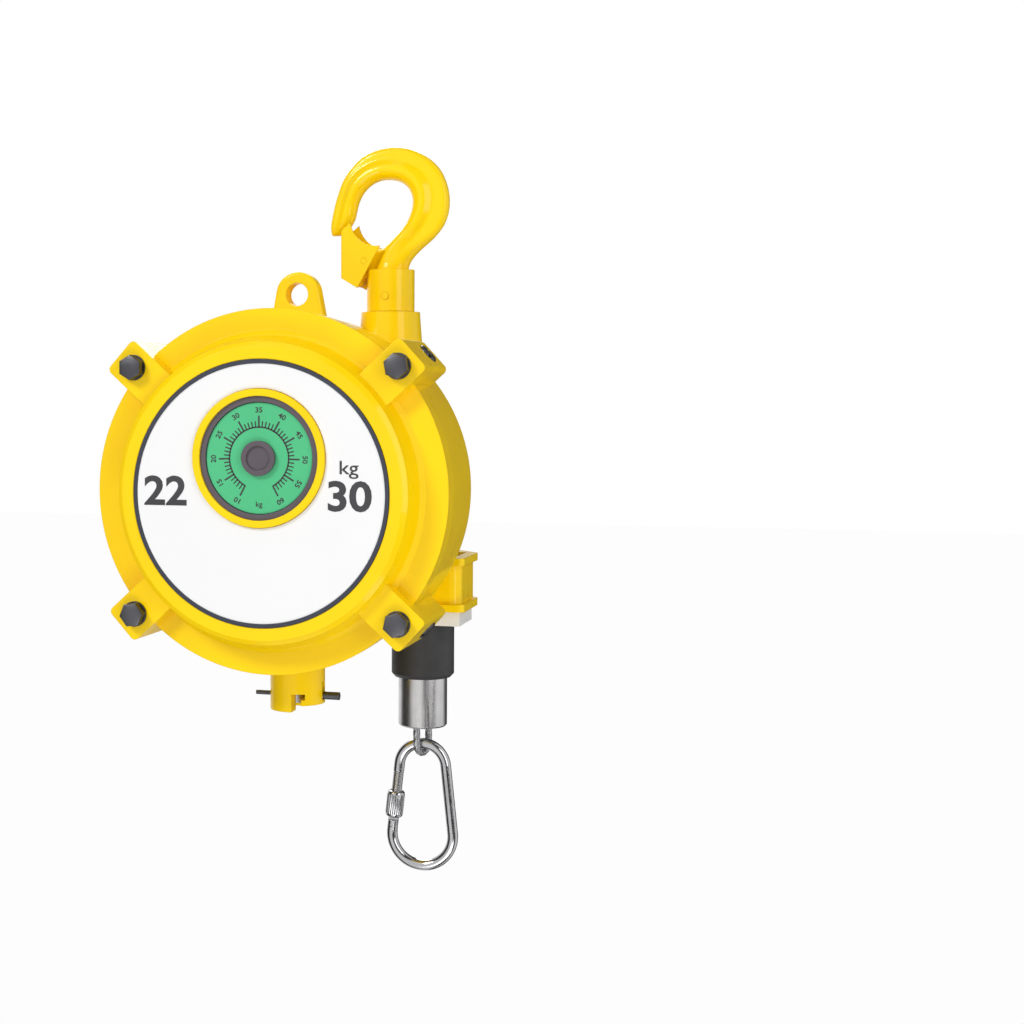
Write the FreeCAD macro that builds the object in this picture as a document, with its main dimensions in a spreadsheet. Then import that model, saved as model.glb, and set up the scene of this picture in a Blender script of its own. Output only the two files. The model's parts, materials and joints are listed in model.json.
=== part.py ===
"""Spring balancer for hand tools, 22 to 30 kg: a parametric FreeCAD document.

The case axis runs along Y, with the dial towards -Y and the gear housing towards +Y.
+Z is up. Sizes are worked out from the middle of the case ("case frame"), and every
piece is then placed so that the document's origin is the seat of the suspension hook,
where a bar or an eye carries the balancer. Millimetres.
"""
import FreeCAD, Part
import math
import os
import Sketcher

V = FreeCAD.Vector
doc = FreeCAD.newDocument("tool_balancer")
sheet = doc.addObject("Spreadsheet::Sheet", "dims")
nodes = {}
row = [0]


class Size:
    """A length or an angle that knows its value and the expression that gives it."""

    def __init__(self, text, value):
        self.text = text
        self.value = value

    def __add__(self, other):
        return joined(self, "+", other, self.value + value_of(other))

    def __radd__(self, other):
        return joined(other, "+", self, value_of(other) + self.value)

    def __sub__(self, other):
        return joined(self, "-", other, self.value - value_of(other))

    def __rsub__(self, other):
        return joined(other, "-", self, value_of(other) - self.value)

    def __mul__(self, other):
        return joined(self, "*", other, self.value * value_of(other))

    def __rmul__(self, other):
        return joined(other, "*", self, value_of(other) * self.value)

    def __truediv__(self, other):
        return joined(self, "/", other, self.value / value_of(other))

    def __neg__(self):
        return joined(0, "-", self, -self.value)


def value_of(number):
    return number.value if isinstance(number, Size) else float(number)


def text_of(number):
    return number.text if isinstance(number, Size) else "%.6f" % number


def joined(left, sign, right, value):
    return Size("(%s %s %s)" % (text_of(left), sign, text_of(right)), value)


def dim(alias, value):
    """One driving dimension: a cell of the sheet with its alias."""
    row[0] += 1
    sheet.set("A%d" % row[0], alias)
    sheet.set("B%d" % row[0], "%g" % value)
    sheet.setAlias("B%d" % row[0], alias)
    return Size("dims.%s" % alias, float(value))


# ---------------------------------------------------------------- driving dimensions

# case, measured from the middle of the case along Y
case_radius = dim("case_radius", 102)            # outer radius of case and cover flange
split_y = dim("split_y", -76)                    # joint face between cover and casing
rim_y = dim("rim_y", -12)                        # rear end of the drum wall
rim_radius = dim("rim_radius", 100)              # outer radius there
case_wall = dim("case_wall", 5)
back_radius = dim("back_radius", 57)             # round flat on the back
back_y = dim("back_y", 62)                       # outer face of that flat
back_side = dim("back_side", 56)                 # straight side of the back plate, -X
back_foot = dim("back_foot", 74)                 # lower edge of the back plate
back_corner = dim("back_corner", 22)             # its rounded corner

# front cover
cover_flange = dim("cover_flange", 5)
face_y = dim("face_y", -98.4)                    # flat ring around the nameplate
face_radius = dim("face_radius", 80.5)
step_radius = dim("step_radius", 88.5)
cover_wall = dim("cover_wall", 4.5)
plate_radius = dim("plate_radius", 73.4)         # nameplate with its trim ring
trim_width = dim("trim_width", 2.2)
plate_thick = dim("plate_thick", 1)
spigot_depth = dim("spigot_depth", 4)
spigot_radius = dim("spigot_radius", 95.6)
fit = dim("fit", 0.3)                            # free gap between pieces of one casting

# bolted lugs
bolt_x = dim("bolt_x", 76.3)
bolt_z = dim("bolt_z", 69.3)
lug_width = dim("lug_width", 23)
lug_reach = dim("lug_reach", 11)                 # past the bolt axis, outwards
lug_root = dim("lug_root", 22)                   # past the bolt axis, inwards
lug_front = dim("lug_front", -91)
lug_rear = dim("lug_rear", -39)
lug_corner = dim("lug_corner", 3)
bolt_radius = dim("bolt_radius", 4)              # M8
bolt_flats = dim("bolt_flats", 13)
bolt_head = dim("bolt_head", 5.3)
bolt_length = dim("bolt_length", 38)
washer_thick = dim("washer_thick", 1.2)
nut_radius = dim("nut_radius", 6)                # barrel nut in a cross bore
nut_length = dim("nut_length", 16)
nut_inner = dim("nut_inner", 6)                  # from the bolt axis to the inner end
nut_slot = dim("nut_slot", 1.6)
nut_depth = dim("nut_depth", 20)                 # behind the joint face
running = dim("running", 0.05)                   # running clearance on a radius

# dial
dial_z = dim("dial_z", 19.5)                     # the dial sits above the shaft
dial_radius = dim("dial_radius", 30.4)
dial_pocket = dim("dial_pocket", 34)
bezel_radius = dim("bezel_radius", 38)
bezel_height = dim("bezel_height", 1.6)
dial_y = dim("dial_y", -97.6)
dial_depth = dim("dial_depth", 5.2)
dial_floor = dim("dial_floor", -88.5)
gear_radius = dim("gear_radius", 9.3)
spindle_radius = dim("spindle_radius", 4)
dial_thick = dim("dial_thick", 1.5)
hub_outer = dim("hub_outer", 9.6)
hub_inner = dim("hub_inner", 6.8)

# shaft and drum
shaft_radius = dim("shaft_radius", 10)
journal_radius = dim("journal_radius", 5)
shaft_rear = dim("shaft_rear", 101.4)
bush_wall = dim("bush_wall", 3)
bush_length = dim("bush_length", 14)
bush_outer = shaft_radius + bush_wall
bridge_y = dim("bridge_y", -82)
bridge_radius = dim("bridge_radius", 66)
rope_radius = dim("rope_radius", 2.25)
rope_x = dim("rope_x", 62)                       # radius at which the rope leaves the drum
rope_y = dim("rope_y", 30)                       # depth of the hanging rope
rope_pitch = dim("rope_pitch", 10.4)                # along the shaft, per turn
rope_rise = dim("rope_rise", 5.4)                 # growth of the radius, per turn
rope_turns = 6
groove_gap = dim("groove_gap", 0.15)
land_drop = dim("land_drop", 0.3)                 # lands lie this far under the rope's centre
drum_wall = dim("drum_wall", 5)
drum_front = dim("drum_front", -66)
drum_bore = shaft_radius + bush_wall
hub_radius = dim("hub_radius", 18)
spring_room = dim("spring_room", 80)
case_drum = dim("case_drum", 86)                 # spring case in front of the locking ring
spring_cover = dim("spring_cover", 3)
spring_inner = dim("spring_inner", 19)
spring_outer = dim("spring_outer", 54)
spring_turns = 4
spring_strip = dim("spring_strip", 2)
spring_width = dim("spring_width", 60)
drum_tail = dim("drum_tail", 8)                  # drum past the last turn, rear
drum_lead = dim("drum_lead", 5)                  # from the last turn to the locking ring
ring_radius = dim("ring_radius", 92.5)           # locking ring at the drum's front
ring_width = dim("ring_width", 12)
notch_count = 12
notch_width = dim("notch_width", 14)
notch_depth = dim("notch_depth", 6)

# gear housing
box_left = dim("box_left", 44.6)                 # towards -X
box_round = dim("box_round", 33)                 # rounded end and half height
box_shift = dim("box_shift", 4)                  # centre of the rounded end, +X
box_rear = dim("box_rear", 102)
box_edge = dim("box_edge", 3)                    # soft rear edge of the housing
box_wall = dim("box_wall", 5)
worm_x = dim("worm_x", 25)                       # centre distance, worm to wheel
worm_y = dim("worm_y", 82)
worm_radius = dim("worm_radius", 7.2)
worm_neck = dim("worm_neck", 8)
worm_top = dim("worm_top", 38)
collar_wide = dim("collar_wide", 10)
wheel_radius = dim("wheel_radius", 17.4)
wheel_width = dim("wheel_width", 14)
hex_flats = dim("hex_flats", 18)
collar_low = dim("collar_low", -48)
hex_low = dim("hex_low", -68)

# rope outlet
exit_x = dim("exit_x", 90)
exit_inner = dim("exit_inner", 38)
exit_front = dim("exit_front", 6)
exit_high = dim("exit_high", -42)
exit_wall = dim("exit_wall", 4.5)
exit_round = dim("exit_round", 7)
exit_lip = dim("exit_lip", 2.6)
exit_facet = dim("exit_facet", 16)
guide_low = dim("guide_low", -83)
guide_radius = dim("guide_radius", 23)
guide_bore = dim("guide_bore", 4.5)
neck_radius = dim("neck_radius", 12)
arm_side = dim("arm_side", 47)                   # edge of the back plate above the arm
window_lift = dim("window_lift", 10)             # start of the big window above the axis
exit_lift = dim("exit_lift", 9)                  # start of the rope window above the axis
rib_x = dim("rib_x", 12)                         # lower rib beside the big window

# rope end
buffer_radius = dim("buffer_radius", 19)
buffer_low = dim("buffer_low", -117)
sleeve_radius = dim("sleeve_radius", 14.8)
sleeve_low = dim("sleeve_low", -147)
eye_spread = dim("eye_spread", 3.7)              # half distance between the eye's legs
ring_top = dim("ring_top", -155)                 # top of the carabiner
ring_rod = dim("ring_rod", 3.3)
ring_length = dim("ring_length", 82)
ring_upper = dim("ring_upper", 14.5)             # centre-line radius of the small end
ring_lower = dim("ring_lower", 19)               # centre-line radius of the big end
nose_share = dim("nose_share", 0.12)             # gate between these shares of the side
hinge_share = dim("hinge_share", 0.86)
gate_tongue = dim("gate_tongue", 1.2)            # half width of the hinge slot
gate_pin = dim("gate_pin", 1)
hinge_gap = dim("hinge_gap", 1.9)                # lets the gate tip inwards
sleeve_drop = dim("sleeve_drop", 12.5)
lock_length = dim("lock_length", 16)
lock_radius = dim("lock_radius", 5.4)

# bottom lock
boss_x = dim("boss_x", 1.8)
boss_y = dim("boss_y", -33)
boss_radius = dim("boss_radius", 16)
boss_low = dim("boss_low", -128.7)
boss_step = dim("boss_step", 3.7)
plunger_radius = dim("plunger_radius", 7)
plunger_tip = dim("plunger_tip", 4)
plunger_low = dim("plunger_low", -124.5)
plunger_shoulder = dim("plunger_shoulder", -112)
tip_z = dim("tip_z", -94)
shoulder_z = dim("shoulder_z", -105)
notch_open = dim("notch_open", 5.5)
pin_z = dim("pin_z", -120.6)
pin_travel = dim("pin_travel", 6)
pin_thin = dim("pin_thin", 1.3)
pin_thick = dim("pin_thick", 2.3)
pin_reach = dim("pin_reach", 25.4)

# tower, hook and suspension lug
hook_x = dim("hook_x", 52)
hook_y = dim("hook_y", -12)
hook_z = dim("hook_z", 178.5)                    # seat of the hook above the case axis
tower_top = dim("tower_top", 102)
tower_foot = dim("tower_foot", 48)
tower_radius = dim("tower_radius", 17)
tower_base = dim("tower_base", 21)
collar_radius = dim("collar_radius", 13.8)
collar_top = dim("collar_top", 126.4)
swivel_radius = dim("swivel_radius", 9)
head_radius = dim("head_radius", 12)
head_depth = dim("head_depth", 8)                # of the chamber below the tower's top
hook_thick = dim("hook_thick", 17)
web_thick = dim("web_thick", 10)
nut_height = dim("nut_height", 8)
cross_z = dim("cross_z", 111)
pin_cross = dim("pin_cross", 2.2)
latch_x = dim("latch_x", -13.5)                  # latch pivot, from the hook seat
latch_z = dim("latch_z", -47)
latch_pin = dim("latch_pin", 1.8)
latch_gap = dim("latch_gap", 18)
latch_sheet = dim("latch_sheet", 1.5)
eye_x = dim("eye_x", 8.2)
eye_y = dim("eye_y", -49.6)
eye_z = dim("eye_z", 110.8)
eye_radius = dim("eye_radius", 12.8)
eye_spread_foot = dim("eye_spread_foot", 4.5)    # the lug widens by this to its foot
eye_bore = dim("eye_bore", 6.5)
eye_thick = dim("eye_thick", 10)
eye_edge = dim("eye_edge", 2)


# ---------------------------------------------------------------- helpers

TURN = {"x": FreeCAD.Rotation(V(0, 1, 0), 90), "y": FreeCAD.Rotation(V(1, 0, 0), -90),
        "z": FreeCAD.Rotation()}


def bind(obj, prop, number):
    obj.setExpression(prop, text_of(number))


def move(obj, x, y, z):
    for axis, number in zip("xyz", (x, y, z)):
        bind(obj, "Placement.Base.%s" % axis, number)
    return obj


def rod(name, radius, start, length, axis="z"):
    """A cylinder from the point start, towards +axis."""
    obj = doc.addObject("Part::Cylinder", name)
    bind(obj, "Radius", radius)
    bind(obj, "Height", length)
    obj.Placement = FreeCAD.Placement(V(), TURN[axis])
    return move(obj, *start)


def taper(name, low, high, start, length):
    obj = doc.addObject("Part::Cone", name)
    bind(obj, "Radius1", low)
    bind(obj, "Radius2", high)
    bind(obj, "Height", length)
    return move(obj, *start)


def block(name, x, y, z):
    """A box between pairs of coordinates."""
    obj = doc.addObject("Part::Box", name)
    for prop, pair in zip(("Length", "Width", "Height"), (x, y, z)):
        bind(obj, prop, pair[1] - pair[0])
    return move(obj, x[0], y[0], z[0])


def fuse(name, *shapes):
    obj = doc.addObject("Part::MultiFuse", name)
    obj.Shapes = list(shapes)
    obj.Refine = True
    return obj


def cut(name, base, *tools):
    """The base less each tool in turn."""
    for tool in tools:
        obj = doc.addObject("Part::Cut", name)
        obj.Base = base
        obj.Tool = tool
        base = obj
    return base


def sketch_in(body, role, points, depth=0):
    """A closed polygon on one of the body's own origin planes, every point dimensioned."""
    plane = [item for item in body.Origin.OriginFeatures if item.Role == role][0]
    sketch = body.newObject("Sketcher::SketchObject", body.Name + "_sketch")
    sketch.AttachmentSupport = [(plane, "")]
    sketch.MapMode = "FlatFace"
    if depth:
        bind(sketch, "AttachmentOffset.Base.z", depth)
    spots = [V(value_of(a), value_of(b), 0) for a, b in points]
    for index, spot in enumerate(spots):
        sketch.addGeometry(Part.LineSegment(spot, spots[(index + 1) % len(spots)]), False)
    for index in range(len(spots)):
        following = (index + 1) % len(spots)
        sketch.addConstraint(Sketcher.Constraint("Coincident", index, 2, following, 1))
    for index, (a, b) in enumerate(points):
        for kind, number, axis in (("DistanceX", a, -2), ("DistanceY", b, -1)):
            if abs(value_of(number)) < 1e-9:
                sketch.addConstraint(Sketcher.Constraint("PointOnObject", index, 1, axis))
            else:
                at = sketch.addConstraint(
                    Sketcher.Constraint(kind, -1, 1, index, 1, value_of(number)))
                sketch.setExpression("Constraints[%d]" % at, text_of(number))
    return sketch


def turned(name, points, axis="y", angle=360):
    """A body of revolution about Y or Z from (radius, height) points."""
    body = doc.addObject("PartDesign::Body", name)
    sketch = sketch_in(body, {"y": "XY_Plane", "z": "XZ_Plane"}[axis], points)
    turn = body.newObject("PartDesign::Revolution", name + "_turn")
    turn.Profile = sketch
    turn.ReferenceAxis = (sketch, ["V_Axis"])
    turn.Angle = angle
    turn.Reversed = angle < 360
    return body


def pressed(name, points, low, high, axis="y"):
    """A prism along Y (outline in X, Z) or along Z (outline in X, Y)."""
    body = doc.addObject("PartDesign::Body", name)
    if axis == "y":
        sketch = sketch_in(body, "XZ_Plane", points, 0 - high if isinstance(high, Size) else -high)
    else:
        sketch = sketch_in(body, "XY_Plane", points, low)
    pad = body.newObject("PartDesign::Pad", name + "_pad")
    pad.Profile = sketch
    bind(pad, "Length", high - low)
    return body


def edges_where(shape, wanted):
    return ["Edge%d" % (i + 1) for i, edge in enumerate(shape.Edges) if wanted(edge)]


def upright(axis):
    """Straight edges along one axis."""
    def wanted(edge):
        along = edge.Vertexes[-1].Point - edge.Vertexes[0].Point
        return (edge.Curve.TypeId == "Part::GeomLine"
                and along.Length - abs(along.dot(axis)) < 1e-6 < along.Length)
    return wanted


def dress(body, kind, size, wanted):
    """A fillet or chamfer of the body's own tip on the edges that are wanted."""
    doc.recompute()
    tip = body.Tip
    feature = body.newObject("PartDesign::" + kind, body.Name + "_" + kind)
    feature.Base = (tip, edges_where(tip.Shape, wanted))
    bind(feature, "Radius" if kind == "Fillet" else "Size", size)
    return body


def rounded(name, base, size, wanted):
    """A fillet of a finished solid on the edges that are wanted."""
    doc.recompute()
    made = doc.addObject("Part::Fillet", name)
    made.Base = base
    made.Edges = [(index + 1, size.value, size.value)
                  for index, edge in enumerate(base.Shape.Edges) if wanted(edge)]
    return made


def node(obj, label, x=0, y=0, z=0):
    """Name a finished piece and place it in the shared frame, with the hook seat at zero."""
    obj.Label = label
    move(obj, x - hook_x, y - hook_y, z - hook_z)
    nodes[label] = obj
    return obj


def shaped(label, shape, x=0, y=0, z=0):
    """A piece whose form comes from sweeps, placed after its shape is set."""
    obj = doc.addObject("Part::Feature", label)
    obj.Shape = shape
    obj.Placement = FreeCAD.Placement(V(), FreeCAD.Rotation())
    return node(obj, label, x, y, z)


def ring(name, inner, outer, low, high, axis="y"):
    return turned(name, [(inner, low), (outer, low), (outer, high), (inner, high)], axis)


def lug_corners():
    """The four bolted corners, as signs of x and z."""
    return [(-1, 1), (1, 1), (-1, -1), (1, -1)]


bolt_circle = Size("sqrt(%s * %s + %s * %s)" % (bolt_x.text, bolt_x.text, bolt_z.text, bolt_z.text),
                   math.hypot(bolt_x.value, bolt_z.value))
bolt_angle = math.degrees(math.atan2(bolt_z.value, bolt_x.value))


def corner_turn(sign_x, sign_z):
    """Rotation about Y that takes +X to the corner's own radial direction."""
    angle = math.degrees(math.atan2(sign_z * bolt_z.value, sign_x * bolt_x.value))
    return FreeCAD.Rotation(V(0, 1, 0), -angle)


def at_corner(obj, sign_x, sign_z, y=0):
    obj.Placement = FreeCAD.Placement(V(), corner_turn(sign_x, sign_z) * obj.Placement.Rotation)
    return move(obj, bolt_x * sign_x, y, bolt_z * sign_z)


def lug(name, sign_x, sign_z, low, high):
    """A radial lug around one bolt, with rounded outer corners."""
    half = lug_width / 2
    outline = [(0 - lug_root, 0 - half), (lug_reach, 0 - half), (lug_reach, half),
               (0 - lug_root, half)]
    body = pressed(name, outline, low, high)
    dress(body, "Fillet", lug_corner, lambda edge: upright(V(0, 1, 0))(edge)
          and edge.Vertexes[0].X > 0)
    return at_corner(body, sign_x, sign_z)


def bolt_hole(name, sign_x, sign_z, low, high):
    hole = rod(name, bolt_radius + running * 4, (0, 0, 0), high - low, "y")
    return move(hole, bolt_x * sign_x, low, bolt_z * sign_z)


# ---------------------------------------------------------------- rear casing

def cavity():
    """Room inside the casing, up to its walls."""
    return turned("cavity", [
        (0, split_y - 9), (case_radius - case_wall - 1, split_y - 9),
        (case_radius - case_wall - 1, split_y), (rim_radius - case_wall, rim_y - 2),
        (back_radius - 4, back_y - case_wall), (0, back_y - case_wall)])


def drum_room():
    """Room swept by the drum and the rope on it, with its clearance."""
    last = rope_turns - 1
    clear = rope_radius + 2.5
    tail = rope_y + drum_tail + 1.5
    return turned("drum_room", [
        (0, split_y), (ring_radius + 1.5, split_y),
        (ring_radius + 1.5, rope_y - rope_pitch * last),
        (rope_x + clear, rope_y), (rope_x + clear, tail), (0, tail)])


def outlet_outline(grow):
    """Plan of the rope outlet, with its facet at the outer rear corner."""
    return [(exit_inner, exit_front - grow), (exit_x + grow, exit_front - grow),
            (exit_x + grow, back_y - exit_facet), (exit_x + grow - exit_facet, back_y),
            (exit_inner, back_y)]


def outlet():
    lip = exit_wall
    walls = pressed("outlet_walls", outlet_outline(0), 0 - back_foot, exit_high, "z")
    upper = pressed("outlet_lip_top", outlet_outline(exit_lip), exit_high - lip, exit_high, "z")
    lower = pressed("outlet_lip_low", outlet_outline(exit_lip), 0 - back_foot,
                    lip - back_foot, "z")
    for body, size in ((walls, exit_round), (upper, exit_round / 2), (lower, exit_round / 2)):
        dress(body, "Fillet", size, lambda edge: upright(V(0, 0, 1))(edge)
              and edge.Vertexes[0].X > exit_x.value - 1)
    neck = rod("outlet_neck", neck_radius + running, (rope_x, rope_y, -back_foot - 1),
               exit_wall + 2)
    return cut("outlet", fuse("outlet_shell", walls, upper, lower), neck, drum_room())


def outlet_room():
    """Hollow of the outlet, open at the top and towards the drum."""
    return block("outlet_room", (exit_inner + exit_wall, exit_x - exit_wall),
                 (exit_front + exit_wall, back_y - exit_facet),
                 (exit_wall - back_foot, exit_high + 1))


def back_plate():
    """Flat plate behind the drum, from the round back down to the outlet arm."""
    plate = pressed("back_plate", [
        (0 - back_side, 5), (0 - back_side, 0 - back_foot), (exit_x - exit_facet, 0 - back_foot),
        (exit_x - exit_facet, exit_high), (arm_side, exit_high), (arm_side, 5)],
        back_y - case_wall, back_y)
    return dress(plate, "Fillet", back_corner,
                 lambda edge: upright(V(0, 1, 0))(edge) and edge.Vertexes[0].X < 0
                 and edge.Vertexes[0].Z < 0)


def windows():
    """The big window on the -X side and the rope window on the +X side."""
    far = case_radius * 1.4
    big = pressed("window_big", [
        (0 - back_side, window_lift), (0 - far, window_lift * 3.2), (0 - far, 0 - far),
        (0 - rib_x, 0 - far), (6 - back_side, back_corner * 0.6 - back_foot),
        (0 - back_side, back_corner - back_foot)], rim_y, back_y + 1)
    small = pressed("window_rope", [
        (back_side - 2, exit_lift), (far, exit_lift * 2.6), (far, exit_high - exit_wall),
        (arm_side, exit_high - exit_wall), (arm_side, exit_high / 2)], rim_y, back_y + 1)
    return big, small


def boss_cuts():
    """Plunger bore, the pin's slots, the entry notch and the stepped foot."""
    low = boss_low - 1
    slot_half = pin_thick + running
    stop = tip_z + case_wall - boss_low + 6
    bore = rod("boss_bore", plunger_radius + running, (boss_x, boss_y, low),
               shoulder_z - low)
    tip = rod("boss_tip", plunger_tip + running, (boss_x, boss_y, low), stop)
    slot = block("boss_slot", (boss_x - boss_radius - 1, boss_x + boss_radius + 1),
                 (boss_y - slot_half, boss_y + slot_half),
                 (pin_z - slot_half, pin_z + pin_travel + slot_half))
    notch = block("boss_notch", (boss_x + 1, boss_x + 1 + notch_open),
                  (boss_y - boss_radius - 1, boss_y), (low, pin_z + pin_thick))
    turn = block("boss_turn", (boss_x + 1, boss_x + 3 + notch_open),
                 (boss_y - boss_radius - 1, boss_y), (pin_z - 1, pin_z + pin_thick))
    foot = block("boss_foot", (boss_x + 1, boss_x + boss_radius + 1),
                 (boss_y - boss_radius - 1, boss_y + boss_radius + 1), (low, boss_low + boss_step))
    return bore, tip, slot, notch, turn, foot


def suspension_lug():
    half = eye_thick / 2
    foot = pressed("lug_foot", [
        (eye_x - eye_radius - eye_spread_foot, case_radius - 14),
        (eye_x + eye_radius + eye_spread_foot, case_radius - 14),
        (eye_x + eye_radius - 0.4, eye_z + 3), (eye_x - eye_radius + 0.4, eye_z + 3)],
        eye_y - half, eye_y + half)
    head = rod("lug_head", eye_radius, (eye_x, eye_y - half, eye_z), eye_thick, "y")
    whole = fuse("suspension_lug", foot, head)
    return rounded("suspension_lug_soft", whole, eye_edge,
                   lambda edge: edge.BoundBox.YLength < 0.01
                   and edge.BoundBox.ZMax > case_radius.value)


def rear_casing():
    skin = turned("casing_skin", [
        (bush_outer + running, back_y - bush_length), (bush_outer + 6, back_y - bush_length),
        (bush_outer + 6, back_y - case_wall), (back_radius - 4, back_y - case_wall),
        (rim_radius - case_wall, rim_y - 2), (case_radius - case_wall - 1, split_y),
        (case_radius, split_y), (case_radius, split_y + 8), (rim_radius, rim_y),
        (back_radius, back_y), (bush_outer + running, back_y)])
    tower = taper("tower", tower_base, tower_radius, (hook_x, hook_y, tower_foot),
                  tower_top - tower_foot)
    boss = rod("boss", boss_radius, (boss_x, boss_y, boss_low), 0 - boss_low - 85)
    lugs = [lug("casing_lug_%d" % i, sx, sz, split_y, lug_rear)
            for i, (sx, sz) in enumerate(lug_corners())]
    outside = cut("casing_outside",
                  fuse("casing_added", tower, boss, suspension_lug(), *lugs), cavity())
    big, small = windows()
    open_skin = cut("open_skin", skin, big, small)
    whole = fuse("casing_whole", open_skin, outside, back_plate(), outlet())
    tools = list(boss_cuts()) + [outlet_room()]
    tools.append(rod("casing_shaft_hole", bush_outer + running, (0, back_y - bush_length - 1, 0),
                     bush_length + 2, "y"))
    tools.append(rod("hook_bore", swivel_radius + running * 2, (hook_x, hook_y, tower_foot),
                     tower_top - tower_foot + 1))
    tools.append(rod("hook_room", head_radius + 1, (hook_x, hook_y, tower_foot),
                     tower_top - head_depth - tower_foot))
    tools.append(rod("eye_bore", eye_bore, (eye_x, eye_y - eye_thick, eye_z), eye_thick * 2, "y"))
    for i, (sx, sz) in enumerate(lug_corners()):
        tools.append(bolt_hole("casing_bolt_hole_%d" % i, sx, sz, split_y - 1, lug_rear - 4))
        cross = rod("nut_bore_%d" % i, nut_radius + running, (0, 0, 0), lug_reach + 7, "x")
        at_corner(cross, sx, sz, split_y + nut_depth)
        inward = (nut_inner + fit) / bolt_circle
        move(cross, bolt_x * sx * (1 - inward), split_y + nut_depth,
             bolt_z * sz * (1 - inward))
        tools.append(cross)
    return node(cut("rear_casing_body", whole, *tools), "rear_casing")


rear_casing()


# ---------------------------------------------------------------- front cover and plates

def front_cover():
    seat = face_y + plate_thick
    rear = seat + cover_wall
    shell = turned("cover_shell", [
        (0, seat), (plate_radius + fit, seat), (plate_radius + fit, face_y),
        (face_radius, face_y), (face_radius + 2.8, face_y + 1.8),
        (step_radius - 1.8, split_y - cover_flange - 3), (step_radius + 1, split_y - cover_flange),
        (case_radius, split_y - cover_flange), (case_radius, split_y),
        (spigot_radius, split_y), (spigot_radius, split_y + spigot_depth),
        (spigot_radius - 4, split_y + spigot_depth), (spigot_radius - 4, split_y - 1),
        (step_radius - 5, split_y - 3), (face_radius - 2, rear), (0, rear)])
    pad = rod("dial_pad", dial_pocket + 4, (0, rear - 0.5, dial_z), dial_floor - rear + 0.5, "y")
    lugs = [lug("cover_lug_%d" % i, sx, sz, lug_front, split_y)
            for i, (sx, sz) in enumerate(lug_corners())]
    tools = [rod("dial_well", dial_pocket, (0, face_y - 1, dial_z), dial_depth + 1, "y"),
             rod("spindle_hole", spindle_radius + running, (0, face_y, dial_z),
                 0 - face_y, "y")]
    tools += [bolt_hole("cover_bolt_hole_%d" % i, sx, sz, lug_front - 1, split_y + 1)
              for i, (sx, sz) in enumerate(lug_corners())]
    return node(cut("front_cover_body", fuse("cover_solid", shell, pad, *lugs), *tools),
                "front_cover")


def flat_ring(label, inner, outer, low, high, z=0):
    return node(ring(label + "_ring", inner, outer, low, high), label, z=z)


front_cover()
seat_y = face_y + plate_thick
disc = rod("nameplate_disc", plate_radius - trim_width, (0, face_y, 0), plate_thick, "y")
disc_hole = rod("nameplate_hole", bezel_radius + fit, (0, face_y - 1, dial_z), plate_thick + 2, "y")
node(cut("nameplate_body", disc, disc_hole), "nameplate")
flat_ring("nameplate_trim", plate_radius - trim_width + running, plate_radius, face_y - 0.4, seat_y)
flat_ring("dial_bezel", dial_pocket, bezel_radius, face_y - bezel_height, seat_y, z=dial_z)
flat_ring("dial_gasket", dial_radius + fit, dial_pocket - running, face_y - 0.2,
          face_y + dial_depth, z=dial_z)


def shaft_bridge():
    """Cup inside the cover that carries the front end of the main shaft."""
    inner = seat_y + cover_wall
    cup = turned("bridge_cup", [
        (bush_outer + running, bridge_y), (bridge_radius - 4, bridge_y),
        (bridge_radius - 4, inner), (bridge_radius, inner), (bridge_radius, bridge_y + 4),
        (bush_outer + 6, bridge_y + 4), (bush_outer + 6, bridge_y + bush_length),
        (bush_outer + running, bridge_y + bush_length)])
    return node(cup, "shaft_bridge")


shaft_bridge()
flat_ring("front_bush", shaft_radius + running, bush_outer, bridge_y, bridge_y + bush_length)
flat_ring("rear_bush", shaft_radius + running, bush_outer, back_y - bush_length, back_y)


def cover_bolts():
    """Four M8 hex bolts from the front into barrel nuts."""
    bolts = []
    washers = []
    for i, (sx, sz) in enumerate(lug_corners()):
        head = doc.addObject("Part::Prism", "bolt_head_%d" % i)
        head.Polygon = 6
        bind(head, "Circumradius", bolt_flats / math.sqrt(3))
        bind(head, "Height", bolt_head)
        head.Placement = FreeCAD.Placement(V(), TURN["y"])
        front = lug_front - washer_thick - bolt_head
        move(head, bolt_x * sx, front, bolt_z * sz)
        shank = rod("bolt_shank_%d" % i, bolt_radius, (bolt_x * sx, lug_front - washer_thick,
                                                      bolt_z * sz), bolt_length, "y")
        bolts.append(fuse("bolt_%d" % i, head, shank))
        disc = ring("washer_%d" % i, bolt_radius + fit, bolt_radius * 2 - 0.8,
                    lug_front - washer_thick, lug_front)
        washers.append(move(disc, bolt_x * sx, 0, bolt_z * sz))
    node(group("bolt_set", bolts), "cover_bolts")
    node(group("washer_set", washers), "bolt_washers")


def group(name, members):
    """Separate solids of one node."""
    obj = doc.addObject("Part::Compound", name)
    obj.Links = list(members)
    return obj


def barrel_nuts():
    nuts = []
    for i, (sx, sz) in enumerate(lug_corners()):
        barrel = rod("barrel_%d" % i, nut_radius, (0, 0, 0), nut_length, "x")
        hole = rod("barrel_hole_%d" % i, bolt_radius + running,
                   (nut_inner, 0 - nut_radius - 1, 0), nut_radius * 2 + 2, "y")
        slot = block("barrel_slot_%d" % i, (nut_length - nut_slot, nut_length + 1),
                     (0 - nut_slot / 2, nut_slot / 2), (0 - nut_radius, nut_radius))
        nut = cut("barrel_nut_%d" % i, barrel, hole, slot)
        nut.Placement = FreeCAD.Placement(V(), corner_turn(sx, sz))
        inward = nut_inner / bolt_circle
        nuts.append(move(nut, bolt_x * sx * (1 - inward), split_y + nut_depth,
                         bolt_z * sz * (1 - inward)))
    node(group("nut_set", nuts), "barrel_nuts")


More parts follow.
